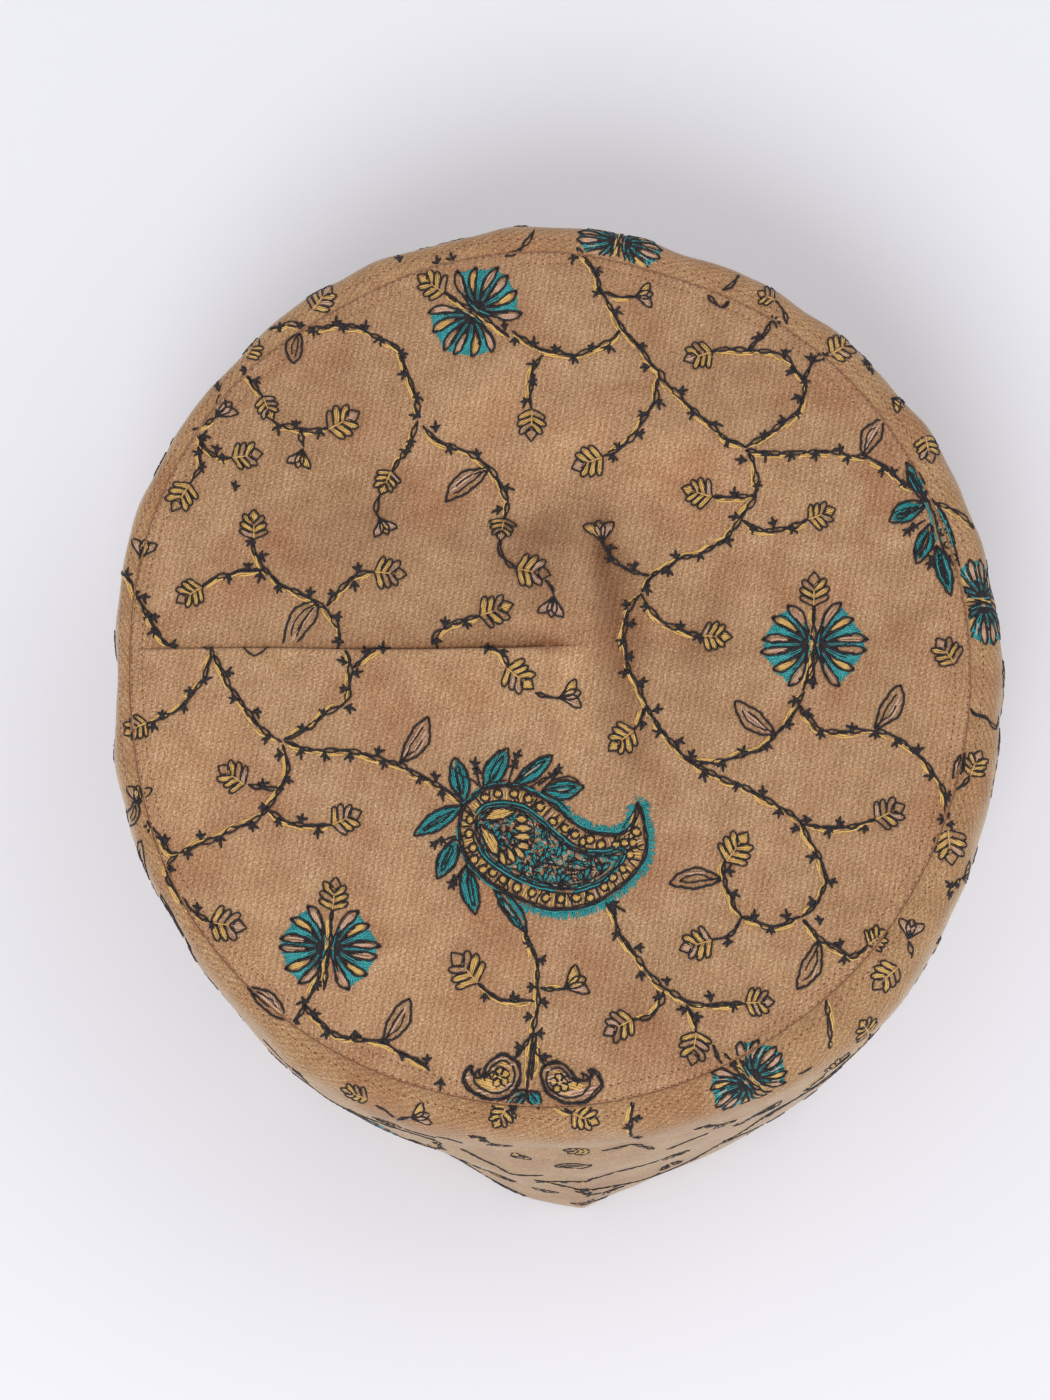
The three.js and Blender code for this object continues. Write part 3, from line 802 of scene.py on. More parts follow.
# stems: points, and the side on which the yellow runs
STEMS = (
    ("268,330 282,326 290,324 300,327 308,330 320,328 335,326 345,326 358,328 370,334 384,340 396,348 401,357 407,372 410,380 413,390 417,405 420,418", "dl"),
    ("243,366 248,378 256,388 263,397", "dl"),
    ("272,420 278,425 290,427 300,429 312,431 328,428", "d"),
    ("300,430 302,440 304,447", ""),
    ("192,430 205,425 215,418", "d"),
    ("195,430 201,440 205,447 214,455 225,458 232,458", "dl"),
    ("200,440 200,455 201,468 196,475 190,484", "l"),
    ("418,420 413,433 411,443 405,452 398,460 392,470", "l"),
    ("381,492 377,502 376,512 379,517", ""),
    ("423,425 430,434 440,442 450,446 460,449 470,453 480,460 487,466 493,472 499,481 504,492 508,500 506,512 504,519", "dl"),
    ("501,540 499,550 503,558 510,566 518,570", ""),
    ("545,582 551,590 554,598", ""),
    ("576,247 585,258 592,268 597,278 599,288 604,296 611,308 616,318 622,329 630,338 640,348 646,357 651,366 660,374 663,381 670,388 680,398 690,410 700,419 712,428 720,436 728,442 737,445 745,449", "dl"),
    ("605,292 618,297 634,297", "d"),
    ("621,330 612,340 604,345 590,350 575,357 560,354 549,352 540,350 530,345 520,338 512,331", "d"),
    ("544,355 538,363 532,373 531,385 530,400 532,410", "l"),
    ("660,377 656,388 656,400 650,411 645,418 640,427 636,434 628,442 618,450 608,455 602,457", "l"),
    ("711,352 725,350 740,350 752,351 768,352 780,355 790,362 797,372 803,380 804,392 801,403 798,413 790,419 780,426 770,433 760,440 745,449", "d"),
    ("748,350 757,342 765,334 770,322 772,314", ""),
    ("803,380 808,372 813,363 820,358 830,355", ""),
    ("745,452 770,455 790,454 815,453 835,453 850,456 865,457 875,462 885,468 895,476 905,484 915,490", "d"),
    ("748,455 753,463 756,475 756,487 754,500 748,508 742,516 738,524 730,534 725,540 715,545 705,551 695,556 685,558 678,560 668,567 655,574 648,582 642,592", "l"),
    ("754,496 740,497 730,498 720,498 712,497", "d"),
    ("742,520 755,528 765,531 780,530 790,527 800,524 808,519", "d"),
    ("650,576 640,574 630,572 620,567 612,560 606,552 602,543", ""),
    ("640,595 632,604 627,615 625,625 623,638 625,650 627,662 630,673 636,682 640,692 645,702 650,712 656,722 661,731 670,741 680,752 690,762", "l"),
    ("641,594 645,602 653,613 662,622 672,627 690,633 702,635", "dl"),
    ("644,706 642,716 638,725 634,730", "l"),
    ("690,762 705,763 720,762 735,758 748,753 760,750 770,742 776,735 785,725 792,715 798,708 800,700 805,692", "ul"),
    ("800,705 804,715 812,721 818,729 830,732 845,733 860,731 873,731 885,733 895,738 905,744 915,752 924,760 930,770 937,780 944,792 946,805 948,820", "dl"),
    ("955,790 965,783 970,775", ""),
    ("690,762 700,768 715,775 730,782 742,786 752,792 762,798 772,803 782,808 790,813 800,822", "dl"),
    ("802,824 815,826 828,828 840,828 852,827 862,823 875,820", "d"),
    ("800,822 803,828 808,838 815,848 820,858 823,870 826,882 822,893 818,903 810,910 801,917", "l"),
    ("800,917 795,919 785,924 775,926 765,927 755,921 742,917", "d"),
    ("742,917 735,908 732,898 726,888 724,878 723,868 726,860", "l"),
    ("742,917 738,925 732,933 722,938 712,940", ""),
    ("803,920 810,928 818,938 828,944 838,949 850,956 860,953 868,945", "d"),
    ("118,570 127,577 133,586 137,598 142,605 148,615 153,625 158,634 163,641 170,646", "l"),
    ("212,648 212,655 209,662 206,672 204,680 198,688 190,697 183,705 175,712 165,717 155,722 147,723", "l"),
    ("214,655 219,665 224,675 229,686 236,695 243,705 250,715 257,725 265,732 273,737 282,742", "dl"),
    ("283,740 292,737 300,733 310,728 318,720 325,714 335,709 343,705 348,697 350,685 350,672 349,660 345,650", "ul"),
    ("353,668 362,660 370,653 378,649 385,649", "d"),
    ("285,742 295,746 305,749 318,750 332,751 345,751 358,753 370,756 382,760 395,764 405,768 415,774 425,778 435,784 445,790 455,797 463,805", "dl"),
    ("283,745 286,755 288,768 285,780 280,790 275,800 268,808 262,815 252,822 243,826 230,831 220,837 210,841 200,844 190,849 180,853", "ul"),
    ("180,853 170,852 165,845 160,838 153,830 148,820", "dl"),
    ("284,789 270,789 258,788 248,785", ""),
    ("265,809 275,815 283,820 295,824 308,826 320,826 332,825", "d"),
    ("178,855 170,862 167,870 168,880 175,890 182,900 190,908 200,916 210,922", "l"),
    ("253,538 254,540 254,550 259,560 264,570 272,577 280,585 290,590 300,595 310,600 318,605 325,608 332,617 338,628 340,640", "dl"),
    ("265,572 250,571 240,571 228,575 218,577 208,583 202,587", "d"),
    ("327,606 333,598 340,590 347,584 355,577 365,573 374,572", "r"),
    ("432,645 435,636 443,630 452,625 465,621 480,617", "dr"),
    ("480,648 495,650 503,655 507,663 508,669", "l"),
    ("535,694 545,697 560,699", ""),
    ("322,965 318,980 313,990 308,1000 305,1005", "l"),
    ("305,1005 300,1015 293,1022", ""),
    ("305,1005 312,1015 320,1022 328,1030 338,1036 350,1038 362,1040 375,1041 385,1043 393,1048 402,1053 412,1058 422,1064 430,1071", "d"),
    ("522,925 528,940 533,952 537,965 538,978 538,990 538,1003 536,1015 534,1028 533,1038", "l"),
    ("478,984 485,990 493,995 503,1000 515,1001 535,1001", "d"),
    ("540,988 552,990 565,989", "u"),
    ("605,903 612,912 616,922 619,932 625,942 632,952 640,962 648,972 655,980 662,987 672,993 682,999 690,1003 700,1005 715,1005 730,1004 745,1004", "dl"),
    ("663,990 662,1000 656,1010 648,1018 632,1020", "l"),
    ("686,1005 692,1015 695,1025 696,1032", "l"),
    ("532,1032 526,1045 518,1055 512,1060", ""),
    ("535,1045 540,1058 545,1065", ""),
    # short lengths that run over the seam to the band
    ("535,228 530,238 522,248 515,254 505,256", ""),
    ("740,274 735,282 728,288 721,290", ""),
    ("708,295 714,303 722,308 729,301", ""),
    ("775,300 785,315 787,325", ""),
    ("930,502 945,506 960,514 975,530", "dl"),
    ("968,705 975,715 985,718 995,728 1003,728", ""),
    ("908,940 911,950 913,960", ""),
    ("825,995 827,1005 829,1020 830,1035 832,1055", "r"),
    ("800,1082 815,1077", ""),
    ("713,1045 718,1058 724,1065", ""),
)

TICKS = (
    "280,327u 300,324u 313,333d 336,322u 342,329d 366,326u 381,342d 403,354r 403,375l 418,397r 415,416l "
    "243,372l 257,381r 296,423u 278,429d 320,433d 205,437r 217,448u 222,459d 197,453l 203,468r 219,386u "
    "412,441r 405,450l 436,426u 450,450d 478,453u 508,486r 498,508l 573,258l 598,272r 596,294l 617,312r 643,347r "
    "645,368l 683,393r 691,416l 716,426r 727,446d 609,350d 591,347u 574,361d 556,349u 534,343u 515,343d 505,325u "
    "532,366l 534,383r 524,402l 659,404r 641,416l 641,436r 618,446u 613,459d 785,352u 790,373l 806,383r 797,398l "
    "799,414r 782,421l 763,437u 757,337l 775,322r 811,358u 824,355u 765,458d 791,458d 815,457d 840,448u 848,460d "
    "883,471d 893,471u 903,485d 741,462l 758,487r 735,517l 729,541r 700,557d 676,555u 668,573d 647,590r 734,493u "
    "753,530d 774,522u 792,531d 634,566u 611,549r 608,561l 625,605l 632,625r 620,641l 631,657r 624,673l 642,683r "
    "658,711r 657,733l 680,742r 691,755u 644,607l 681,625u 698,638d 641,724l 722,765d 743,751u 767,747d 789,726r "
    "794,700l 812,682r 808,713r 821,735d 852,728u 875,736d 896,744d 918,749u 929,776l 949,796r 941,820l 952,825r "
    "703,776d 738,788d 763,791u 779,814d 806,820l 829,832d 839,822u 865,830d 795,829l 812,857l 832,882r 811,902l "
    "754,916u 771,931d 787,915u 735,894r 730,871r 727,942l 820,919u 840,942u 844,960d "
    "128,573u 134,592l 145,597r 147,615l 156,618r 153,632l 174,645r 206,681r 189,692l 184,709d 163,714u 154,728d "
    "230,673r 233,700l 258,712r 266,738l 302,727u 323,711u 350,708r 343,690l 357,674r 343,663l 338,642l 366,651u "
    "383,648u 301,753d 325,757d 350,758d 378,751u 384,765d 420,781d 436,776u 441,795d 279,755l 289,780r 262,807l "
    "252,827d 220,841d 201,835u 188,855d 166,839u 148,826l 263,783u 279,823d 301,818u 318,833d 170,870l 198,907u "
    "212,926d 250,543l 263,557r 261,578d 279,590d 310,593u 338,617r 248,566u 228,579d 331,595l 358,568u 354,586d "
    "445,623u 466,626d 438,642r 488,649d 504,653r 318,986r 303,1002l 296,1023d 316,1014r 327,1035d 355,1036d "
    "402,1055u 427,1058u 527,945l 543,960r 530,987l 545,1002r 528,1017l 541,1034r 518,1048l 545,1057r 485,998d "
    "513,997u 615,908r 615,935l 640,948r 641,976d 667,980u 657,997l 711,996u 733,1008d 683,1010l 698,1017r "
    "437,261u 452,258u 400,257u 235,485u 735,1065r 441,1084d"
)

# buds: base and tip
BUDS = (
    "263,397 273,421; 328,430 360,412; 232,458 263,453; 190,484 172,512; 391,469 380,494; 504,518 500,542; "
    "516,570 551,577; 532,410 531,442; 603,457 571,468; 712,352 683,361; 712,497 681,488; 808,520 836,509; "
    "701,635 733,636; 634,730 608,751; 875,820 905,805; 726,862 748,832; 712,940 679,950; 147,722 123,735; "
    "245,785 218,766; 332,825 362,811; 210,922 247,928; 254,540 254,509; 202,587 176,603; 374,572 407,575; "
    "480,617 514,606; 506,668 534,690; 478,983 451,953; 745,1003 775,1002; 633,1019 603,1035; 696,1032 692,1066; "
    "868,945 887,930; 313,310 332,284; 245,357 259,338; 948,830 952,866; 970,776 981,750; 955,664 936,638; "
    "925,436 932,464; 775,300 757,292; 830,355 857,338; 898,967 872,990"
)

TULIPS = (
    "303,449 297,470; 215,418 232,400; 379,517 389,536; 554,598 552,622; 634,297 655,294; 602,545 597,519; "
    "558,699 583,693; 563,989 587,975; 141,560 145,537; 891,398 906,407; 908,940 912,917; 138,806 139,783"
)

# leaves: base, tip, width in picture points, side of the belly
LEAVES = (
    ("299,333 294,364", 15, -1), ("490,468 445,501", 17, -1), ("863,456 883,420", 17, 1), ("776,735 735,700", 18, 1),
    ("875,729 901,684", 18, -1), ("722,880 669,884", 18, -1), ("819,940 797,990", 17, 1), ("400,764 428,717", 18, -1),
    ("382,1043 409,998", 18, -1), ("247,987 285,1021", 15, 1), ("962,752 953,779", 9, 1), ("136,800 128,828", 10, 1),
)

for text, yellow in STEMS:
    stem("crown", pts(text), WAYS[yellow])
for mark in TICKS.split():
    x, y = mark[:-1].split(",")
    tick("crown", P(float(x), float(y)), WAYS[mark[-1]])
for pair in BUDS.split(";"):
    a, b = pts(pair)
    bud("crown", a, b, wide=1.02 if abs(b - a) > 5.4 else 1.2)
for pair in TULIPS.split(";"):
    a, b = pts(pair)
    tulip("crown", a, b)
for pair, wide, belly in LEAVES:
    a, b = pts(pair)
    leaf("crown", a, b, 1.12 * wide / PX, 0.07 * belly)

# round flowers: middle, a point towards the bud
flower("crown", P(475, 313), P(452, 298) - P(475, 313), radius=10.3)
flower("crown", P(814, 645), 1j, radius=10.9)
flower("crown", P(329, 948), P(333, 908) - P(329, 948), radius=10.6)
flower("crown", P(749, 1080), P(776, 1107) - P(749, 1080), radius=9.0, with_bud=False)
stem("crown", pts("814,643 813,655 811,667 807,680 803,691"), -1)

# the leaf that the dart cuts, and what is left of it on the far side
satin("crown", "beige", pts("317,605 300,610 292,618 288,630 284,643 296,643 306,633 314,620"), P(290, 643) - P(314, 608),
      gap=0.62, inset=0.5, ragged=0.5, share=0.6)
ink("crown", pts("318,602 303,605 293,613 288,623 285,635 283,644"), w=0.27, wander=0.14)
ink("crown", pts("317,604 308,609 299,616 294,625 291,637"), w=0.18, wander=0.12)
ink("crown", pts("318,604 318,613 315,621 310,628 304,635 297,643"), w=0.27, wander=0.14)
ink("crown", pts("314,608 307,617 301,627 296,637"), w=0.22)
ink("crown", pts("311,612 303,622 297,632"), w=0.17, lift=0.3)
ink("crown", pts("243,648 249,653 255,656 262,653 268,648"), w=0.22)
ink("crown", pts("203,647 208,650 213,648"), w=0.3)


def px_offset(line, by):
    """A closed line moved outward by so many mm."""
    t = (np.roll(line, -1) - np.roll(line, 1))
    return line + (-1j) * t / (np.abs(t) + 1e-9) * by


def bead(space, at, r=0.98):
    r = r * rng.uniform(0.90, 1.06)
    turn = np.exp(1j * rng.uniform(0, 3))
    ring = at + r * (1 + 0.10 * np.cos(2 * np.linspace(0, TURN, 9)[:-1] + rng.uniform(0, 6))) * np.exp(
        1j * np.linspace(0, TURN, 9)[:-1] + 0.3j)
    for off in (-0.50, -0.17, 0.17, 0.50):
        half = math.sqrt(max(0.05, (r * 0.80) ** 2 - off ** 2))
        thread(space, "yellow", at + turn * curve([complex(-half, off), complex(0, off), complex(half, off)], 0.6),
               w=0.21, h=0.26, lift=0.34, stitch=0)
    thread(space, "ink", curve(list(ring) + [ring[0]], 0.45), w=0.24, h=0.2, lift=0.37, stitch=0)


# ---- the large paisley
OUTER = pts("463,806 470,800 480,791 495,786 510,786 525,789 540,796 552,804 562,812 572,821 582,828 592,832 605,834 "
            "618,834 628,829 634,820 636,808 637,802 640,806 643,815 645,826 647,838 647,850 643,862 636,872 628,881 "
            "618,889 608,896 598,902 588,906 575,909 560,910 545,909 530,904 515,898 505,892 492,885 482,877 474,869 "
            "467,859 462,848 459,836 459,822 461,812")
INNER = pts("478,815 485,808 495,805 510,805 520,807 530,812 540,820 550,829 560,838 570,846 580,851 592,853 605,853 "
            "618,850 624,853 620,862 612,872 603,880 592,885 578,889 565,890 550,888 535,885 522,880 510,874 500,867 "
            "490,860 482,850 477,838 475,826")
BEADS = pts("470,820 469,834 473,848 474,860 483,870 493,873 503,880 517,888 532,893 546,898 561,899 576,898 590,898 "
            "604,887 613,878 623,869 630,855 633,843 636,832 485,798 498,794 514,794 528,799 540,807 553,822 565,829 "
            "575,835 583,842 590,840 601,845 616,845 625,843")


def paisley():
    s = "crown"
    outer = curve(OUTER, 0.45, closed=True)
    inner = curve(INNER, 0.45, closed=True)
    # teal strands that stand out round it, except at its upper left
    for k in range(0, len(outer) - 1):
        x, y = outer[k].real * PX, -outer[k].imag * PX
        if (x < 548 and y < 845) or (x < 526 and y < 905 and x < 470):
            continue
        if x < 526 and y < 900:
            continue
        t = outer[k + 1] - outer[k]
        out = 1j * t / abs(t)
        for _ in range(2):
            a = outer[k] + t * rng.uniform(-0.6, 0.6) + out * rng.uniform(-0.1, 0.3)
            tip = a + out * rng.uniform(1.3, 2.15) + t / abs(t) * rng.uniform(-0.45, 0.45)
            thread(s, "teal", curve([a, (a + tip) / 2, tip], 0.9), w=0.2, h=0.15, lift=0.12 + rng.uniform(0, 0.1),
                   stitch=0)
    # ring filled with short yellow strands, beads over them
    n = 150
    ring_o = np.interp(np.linspace(0, 1, n), np.linspace(0, 1, len(outer)), outer.real) + 1j * np.interp(
        np.linspace(0, 1, n), np.linspace(0, 1, len(outer)), outer.imag)
    for k in range(n):
        near = inner[np.argmin(np.abs(inner - ring_o[k]))]
        d = near - ring_o[k]
        if abs(d) < 1.0:
            continue
        colour = ("yellow", "ink", "yellow", "yellow", "ink", "beige", "yellow", "ink")[k % 8]
        if colour == "ink":
            d = d * np.exp(1j * rng.uniform(-0.45, 0.45))
        thread(s, colour, curve([ring_o[k] + d * 0.14, ring_o[k] + d * 0.5, ring_o[k] + d * 0.88], 0.9),
               w=0.26 if colour != "ink" else 0.20, h=0.17, lift=0.15 if colour != "ink" else 0.24, stitch=0)
    for b in BEADS:
        bead(s, b)
    # a teal strand just inside the outline, and two round the inner one
    for line, by, w, cuts in ((OUTER, -0.42, 0.18, 5), (INNER, 0.30, 0.20, 3), (INNER, -0.40, 0.22, 3), (INNER, -0.80, 0.18, 4)):
        loop = curve(px_offset(line, by), 0.6, closed=True)
        for part in np.array_split(np.arange(len(loop)), cuts):
            part = part[: int(len(part) * rng.uniform(0.7, 0.95))]
            thread(s, "teal" if by != -0.80 else "ink", loop[part] + across(loop)[part] * sway(len(part), 0.09), w=w, h=0.18,
                   lift=0.28, stitch=0)
    # inside: two large petals, yellow strips, then small teal leaves and dark scrolls
    poly = np.asarray(INNER)
    # short curled strands of teal, ink and beige over the whole inside
    for segment in hatch(poly, 1 + 0.15j, 0.50):
        a, b = segment
        for k in range(max(1, int(abs(b - a) / 0.95))):
            spot = a + (b - a) * rng.uniform(0.04, 0.96)
            way = np.exp(1j * rng.uniform(0, TURN)) * rng.uniform(0.5, 0.95)
            curl = rng.uniform(-0.5, 0.5)
            mid = spot + 1j * way * curl * 0.6
            colour = ("teal", "teal", "ink", "teal", "beige", "ink", "ink")[int(rng.integers(0, 7))]
            thread(s, colour, curve([spot - way, mid, spot + way], 0.6), w=0.21 if colour != "ink" else 0.15, h=0.16,
                   lift=(0.14 if colour != "ink" else 0.22) + rng.uniform(0, 0.05), stitch=0)
    for a, b, wide in (("482,820", "516,811", 12.0), ("479,824", "498,858", 12.0)):
        a, b = pts(a)[0], pts(b)[0]
        up, down = petal_outline(a, b, wide / PX, 0.05, widest=0.55)
        satin(s, "yellow", np.concatenate([up, down[::-1]]), b - a, gap=0.38, inset=0.15, lift=0.27)
        ink(s, up, w=0.26, lift=0.38)
        ink(s, down, w=0.26, lift=0.38)
    for y0, y1, x0, x1 in ((818, 820, 514, 529), (827, 829, 513, 533), (836, 837, 513, 533), (844, 848, 515, 532)):
        a, b = P(x0, y0 + 1), P(x1, y1)
        up, down = petal_outline(a, b, 8.0 / PX, 0.0, widest=0.5)
        satin(s, "yellow", np.concatenate([up, down[::-1]]), b - a, gap=0.38, inset=0.12, lift=0.27)
        ink(s, up, w=0.2, lift=0.37)
        ink(s, down, w=0.2, lift=0.37)
    for a, b in (("500,848", "505,867"), ("506,845", "515,864"), ("512,844", "525,860")):
        a, b = pts(a)[0], pts(b)[0]
        up, down = petal_outline(a, b, 6.6 / PX, 0.0)
        satin(s, "yellow", np.concatenate([up, down[::-1]]), b - a, gap=0.38, inset=0.1, lift=0.27)
        ink(s, up, w=0.2, lift=0.37)
        ink(s, down, w=0.2, lift=0.37)
    for a, b in (("522,876", "520,862"), ("524,877", "529,863"), ("545,884", "537,872"), ("545,884", "548,870"),
                 ("563,886", "557,873"), ("563,886", "565,870"), ("563,886", "572,874"), ("585,883", "578,870"),
                 ("585,883", "590,866"), ("602,874", "598,862"), ("602,874", "610,863"), ("538,868", "534,852"),
                 ("540,868", "546,853"), ("552,862", "545,848"), ("560,842", "557,858"), ("561,842", "566,852"),
                 ("588,862", "586,850"), ("590,862", "596,850"), ("606,858", "622,860"), ("545,826", "542,840"),
                 ("500,826", "494,838"), ("506,828", "510,842"), ("497,840", "505,846"), ("570,862", "585,866"),
                 ("556,866", "548,858")):
        a, b = pts(a)[0], pts(b)[0]
        up, down = petal_outline(a, b, 4.6 / PX, 0.08)
        satin(s, "teal", np.concatenate([up, down[::-1]]), b - a, gap=0.42, inset=0.1, lift=0.2)
        ink(s, up, w=0.16, lift=0.34)
        ink(s, down, w=0.16, lift=0.34)
    for text in ("480,820 490,812 505,809 520,811 530,818 534,828 533,842 528,852", "498,832 506,838 512,846",
                 "530,868 545,864 560,866 575,870 592,868 606,862", "508,868 520,872 535,880 552,884 570,885 588,881 602,874",
                 "540,826 546,836 548,848 542,858", "548,832 560,842 572,850 584,855 600,857 614,856",
                 "527,852 535,860 545,866", "575,856 568,864 572,874", "596,858 602,866 600,874", "482,826 490,822 500,824 510,822"):
        ink(s, pts(text), w=0.17, wander=0.12, lift=0.3)
    for by, w in ((0.0, 0.26), (0.42, 0.18)):
        ink(s, list(px_offset(OUTER, by)) + [px_offset(OUTER, by)[0]], w=w, wander=0.17, lift=0.4)
    ink(s, list(INNER) + [INNER[0]], w=0.24, wander=0.16, lift=0.4)
    ink(s, list(px_offset(INNER, 0.45)) + [px_offset(INNER, 0.45)[0]], w=0.17, wander=0.16, lift=0.38)
    for a, b, wide in (("465,803", "455,757", 19), ("484,791", "508,748", 20), ("513,786", "553,755", 16),
                       ("542,791", "584,787", 19), ("463,806", "414,836", 18), ("457,838", "437,879", 18),
                       ("465,865", "476,915", 18), ("494,889", "527,934", 15)):
        teal_leaf(s, pts(a)[0], pts(b)[0], wide / PX)
    for a, b in (("480,788", "473,757"), ("508,784", "519,748"), ("538,786", "565,765"), ("456,836", "427,847"),
                 ("463,868", "449,890")):
        sprig(s, pts(a)[0], pts(b)[0])
    for text in ("478,793 490,787 505,784 520,785 535,789", "470,797 480,789 492,783 507,781", "540,792 550,797 560,803 570,812",
                 "466,806 462,815 460,826 459,840", "461,848 465,860 471,870 480,880", "452,768 460,775 470,779 478,786",
                 "545,786 555,780 566,777 576,780 583,787", "527,789 537,783 547,777"):
        ink(s, pts(text), w=0.20, wander=0.12, lift=0.36)
    for text in ("474,798 484,790 496,785 510,784", "520,787 532,791 543,797 553,804", "462,812 460,824 459,836",
                 "462,852 467,864 475,874", "556,806 565,815 575,822 586,829", "590,829 602,831 614,831 625,828"):
        thread(s, "teal", curve(pts(text), 0.7), w=0.24, h=0.18, lift=0.26, stitch=0)
    ink(s, pts("612,900 618,908 626,912"), w=0.26)
    tick(s, P(614, 905), 1 - 0.6j)


paisley()

# ---- the pair of small paisleys over the front of the seam
PAIR = (
    ("516,1060 505,1054 495,1057 488,1063 484,1071 481,1077 476,1078 472,1075 470,1068 473,1065 470,1066 464,1073 "
     "462,1080 467,1088 474,1094 483,1098 492,1100 503,1099 512,1094 518,1086 521,1076 520,1066", "500,1077"),
    ("545,1065 552,1062 562,1063 570,1070 576,1077 583,1081 590,1080 593,1075 590,1069 596,1071 601,1077 603,1085 "
     "598,1092 590,1100 578,1104 565,1103 553,1098 545,1090 541,1080 541,1070", "560,1083"),
)


def small_paisley(text, heart):
    s = "crown"
    edge = pts(text)
    heart = pts(heart)[0]
    inner = heart + (edge - heart) * 0.70
    core = heart + (edge - heart) * 0.42
    outline = curve(edge, 0.5, closed=True)
    satin(s, "beige", outline, 1 + 0.2j, gap=0.8, inset=0.4, share=0.45, lift=0.10)
    satin(s, "yellow", curve(inner, 0.5, closed=True), 1 - 0.3j, gap=0.55, inset=0.3, share=0.7, lift=0.12)
    for k in range(5):
        a = heart + np.exp(1j * (k * TURN / 5 + 0.4)) * 0.25
        b = heart + np.exp(1j * (k * TURN / 5 + 0.4)) * 2.3
        up, down = petal_outline(a, b, 1.7, 0.05, widest=0.6)
        satin(s, "yellow", np.concatenate([up, down[::-1]]), b - a, gap=0.4, inset=0.1, lift=0.2)
        ink(s, up, w=0.19, lift=0.36)
        ink(s, down, w=0.19, lift=0.36)
    ink(s, list(edge) + [edge[0]], w=0.24, wander=0.17, lift=0.4)
    ink(s, list(heart + (edge - heart) * 0.93) + [heart + (edge[0] - heart) * 0.93], w=0.2, wander=0.14, lift=0.38)
    ink(s, list(inner) + [inner[0]], w=0.24, wander=0.12, lift=0.38)
    ink(s, list(core)[: len(core) * 2 // 3], w=0.17, wander=0.14, lift=0.36)


for text, heart in PAIR:
    small_paisley(text, heart)
stem("crown", pts("533,1036 531,1050 529,1065 528,1080 527,1090"), -1, twist=0.4)
stem("crown", pts("536,1036 535,1050 533,1066 531,1080"), 1, twist=0.4)
for a, b in (("527,1091", "507,1106"), ("528,1091", "541,1106")):
    teal_leaf("crown", pts(a)[0], pts(b)[0], 13 / PX)

# ---- half paisley that runs into the seam on the right
for a, b, wide in (("925,504", "889,521", 20), ("931,524", "917,564", 17), ("936,545", "951,596", 15),
                   ("926,503", "906,462", 11)):
    teal_leaf("crown", pts(a)[0], pts(b)[0], wide / PX, dark=4)
ink("crown", pts("918,492 926,498 932,510 936,524 940,540 946,555 955,568"), w=0.27)
ink("crown", pts("928,497 938,507 945,520 951,536 956,552 960,567"), w=0.24)
ink("crown", pts("932,500 943,512 950,527 956,545"), w=0.18)
for text in ("923,500 929,512 932,526 936,542", "936,506 943,518 949,533 954,549", "929,504 934,516 938,530 942,545",
             "941,512 948,527 953,541"):
    thread("crown", "teal", curve(pts(text), 0.7), w=0.26, h=0.18, lift=0.24, stitch=0)
for at_ in pts("934,508 939,520 943,532 948,545 953,558"):
    bead("crown", at_, 0.8)
for a, b in (("925,520", "902,535"), ("936,548", "929,570")):
    sprig("crown", pts(a)[0], pts(b)[0])

# ---------------------------------------------------------------------------------------------------------
# The band
# ---------------------------------------------------------------------------------------------------------
def B(x, y):
    """A picture point as a band stroke point."""
    u, v = band_from_picture(x, y)
    return complex(u[0], -v[0])


def bpts(text):
    xy = np.array([[float(c) for c in pair.split(",")] for pair in text.split()])
    u, v = band_from_picture(xy[:, 0], xy[:, 1])
    return u - 1j * v


# what shows of the band in the picture
def photo_band():
    for a, b, size in ((B(508, 1103), B(494, 1128), 6.0), (B(368, 1099), B(349, 1092), 6.2), (B(590, 1151), B(566, 1150), 5.6),
                       (B(672, 1166), B(650, 1152), 5.5)):
        bud("band", a, a + (b - a) / abs(b - a) * size)
    a, b = B(572, 1113), B(601, 1124)
    bud("band", a, a + (b - a) / abs(b - a) * 6.4)
    for a, b in ((B(410, 1118), B(429, 1114)), (B(510, 1156), B(535, 1154)), (B(545, 1192), B(545, 1180))):
        tulip("band", a, a + (b - a) / abs(b - a) * 4.8)
    for text, yellow in (("550,1105 562,1109 573,1114", 1), ("375,1105 385,1110 395,1118", 0), ("397,1120 405,1118 411,1117", 0),
                         ("435,1136 450,1139 463,1143", 0), ("460,1148 480,1158 495,1165 510,1173 525,1175 545,1175", 0),
                         ("633,1098 632,1110 630,1125 632,1137", 1), ("600,1151 620,1147 635,1144 655,1149", 0),
                         ("665,1150 685,1142 710,1132", 0)):
        stem("band", bpts(text), yellow * -1)
    for x, y, way in ((512, 1110, -1j), (638, 1118, 1), (626, 1127, -1), (638, 1137, 1)):
        tick("band", B(x, y), way)
    a = B(553, 1166)
    leaf("band", a, a + 8.5 * np.exp(0.35j), 3.6)
    flower("band", B(442, 1168), 0.4 - 1j, radius=9.6, with_bud=False)
    flower("band", B(620, 242), -1j, radius=9.4, with_bud=False)
    flower("band", B(983, 602), -1j, radius=10.0, with_bud=False)


photo_band()


def free_at(p, reach):
    """True where no motif lies within reach mm of a band point."""
    i0, j0 = p.real / 2, -p.imag / 2
    k = int(math.ceil(reach / 2))
    for i in range(-k, k + 1):
        for j in range(-k, k + 1):
            if i * i + j * j <= (reach / 2) ** 2:
                jj = int(j0 + j)
                if 0 <= jj < 50 and BAND_TAKEN[int(i0 + i) % 305, jj]:
                    return False
    return True


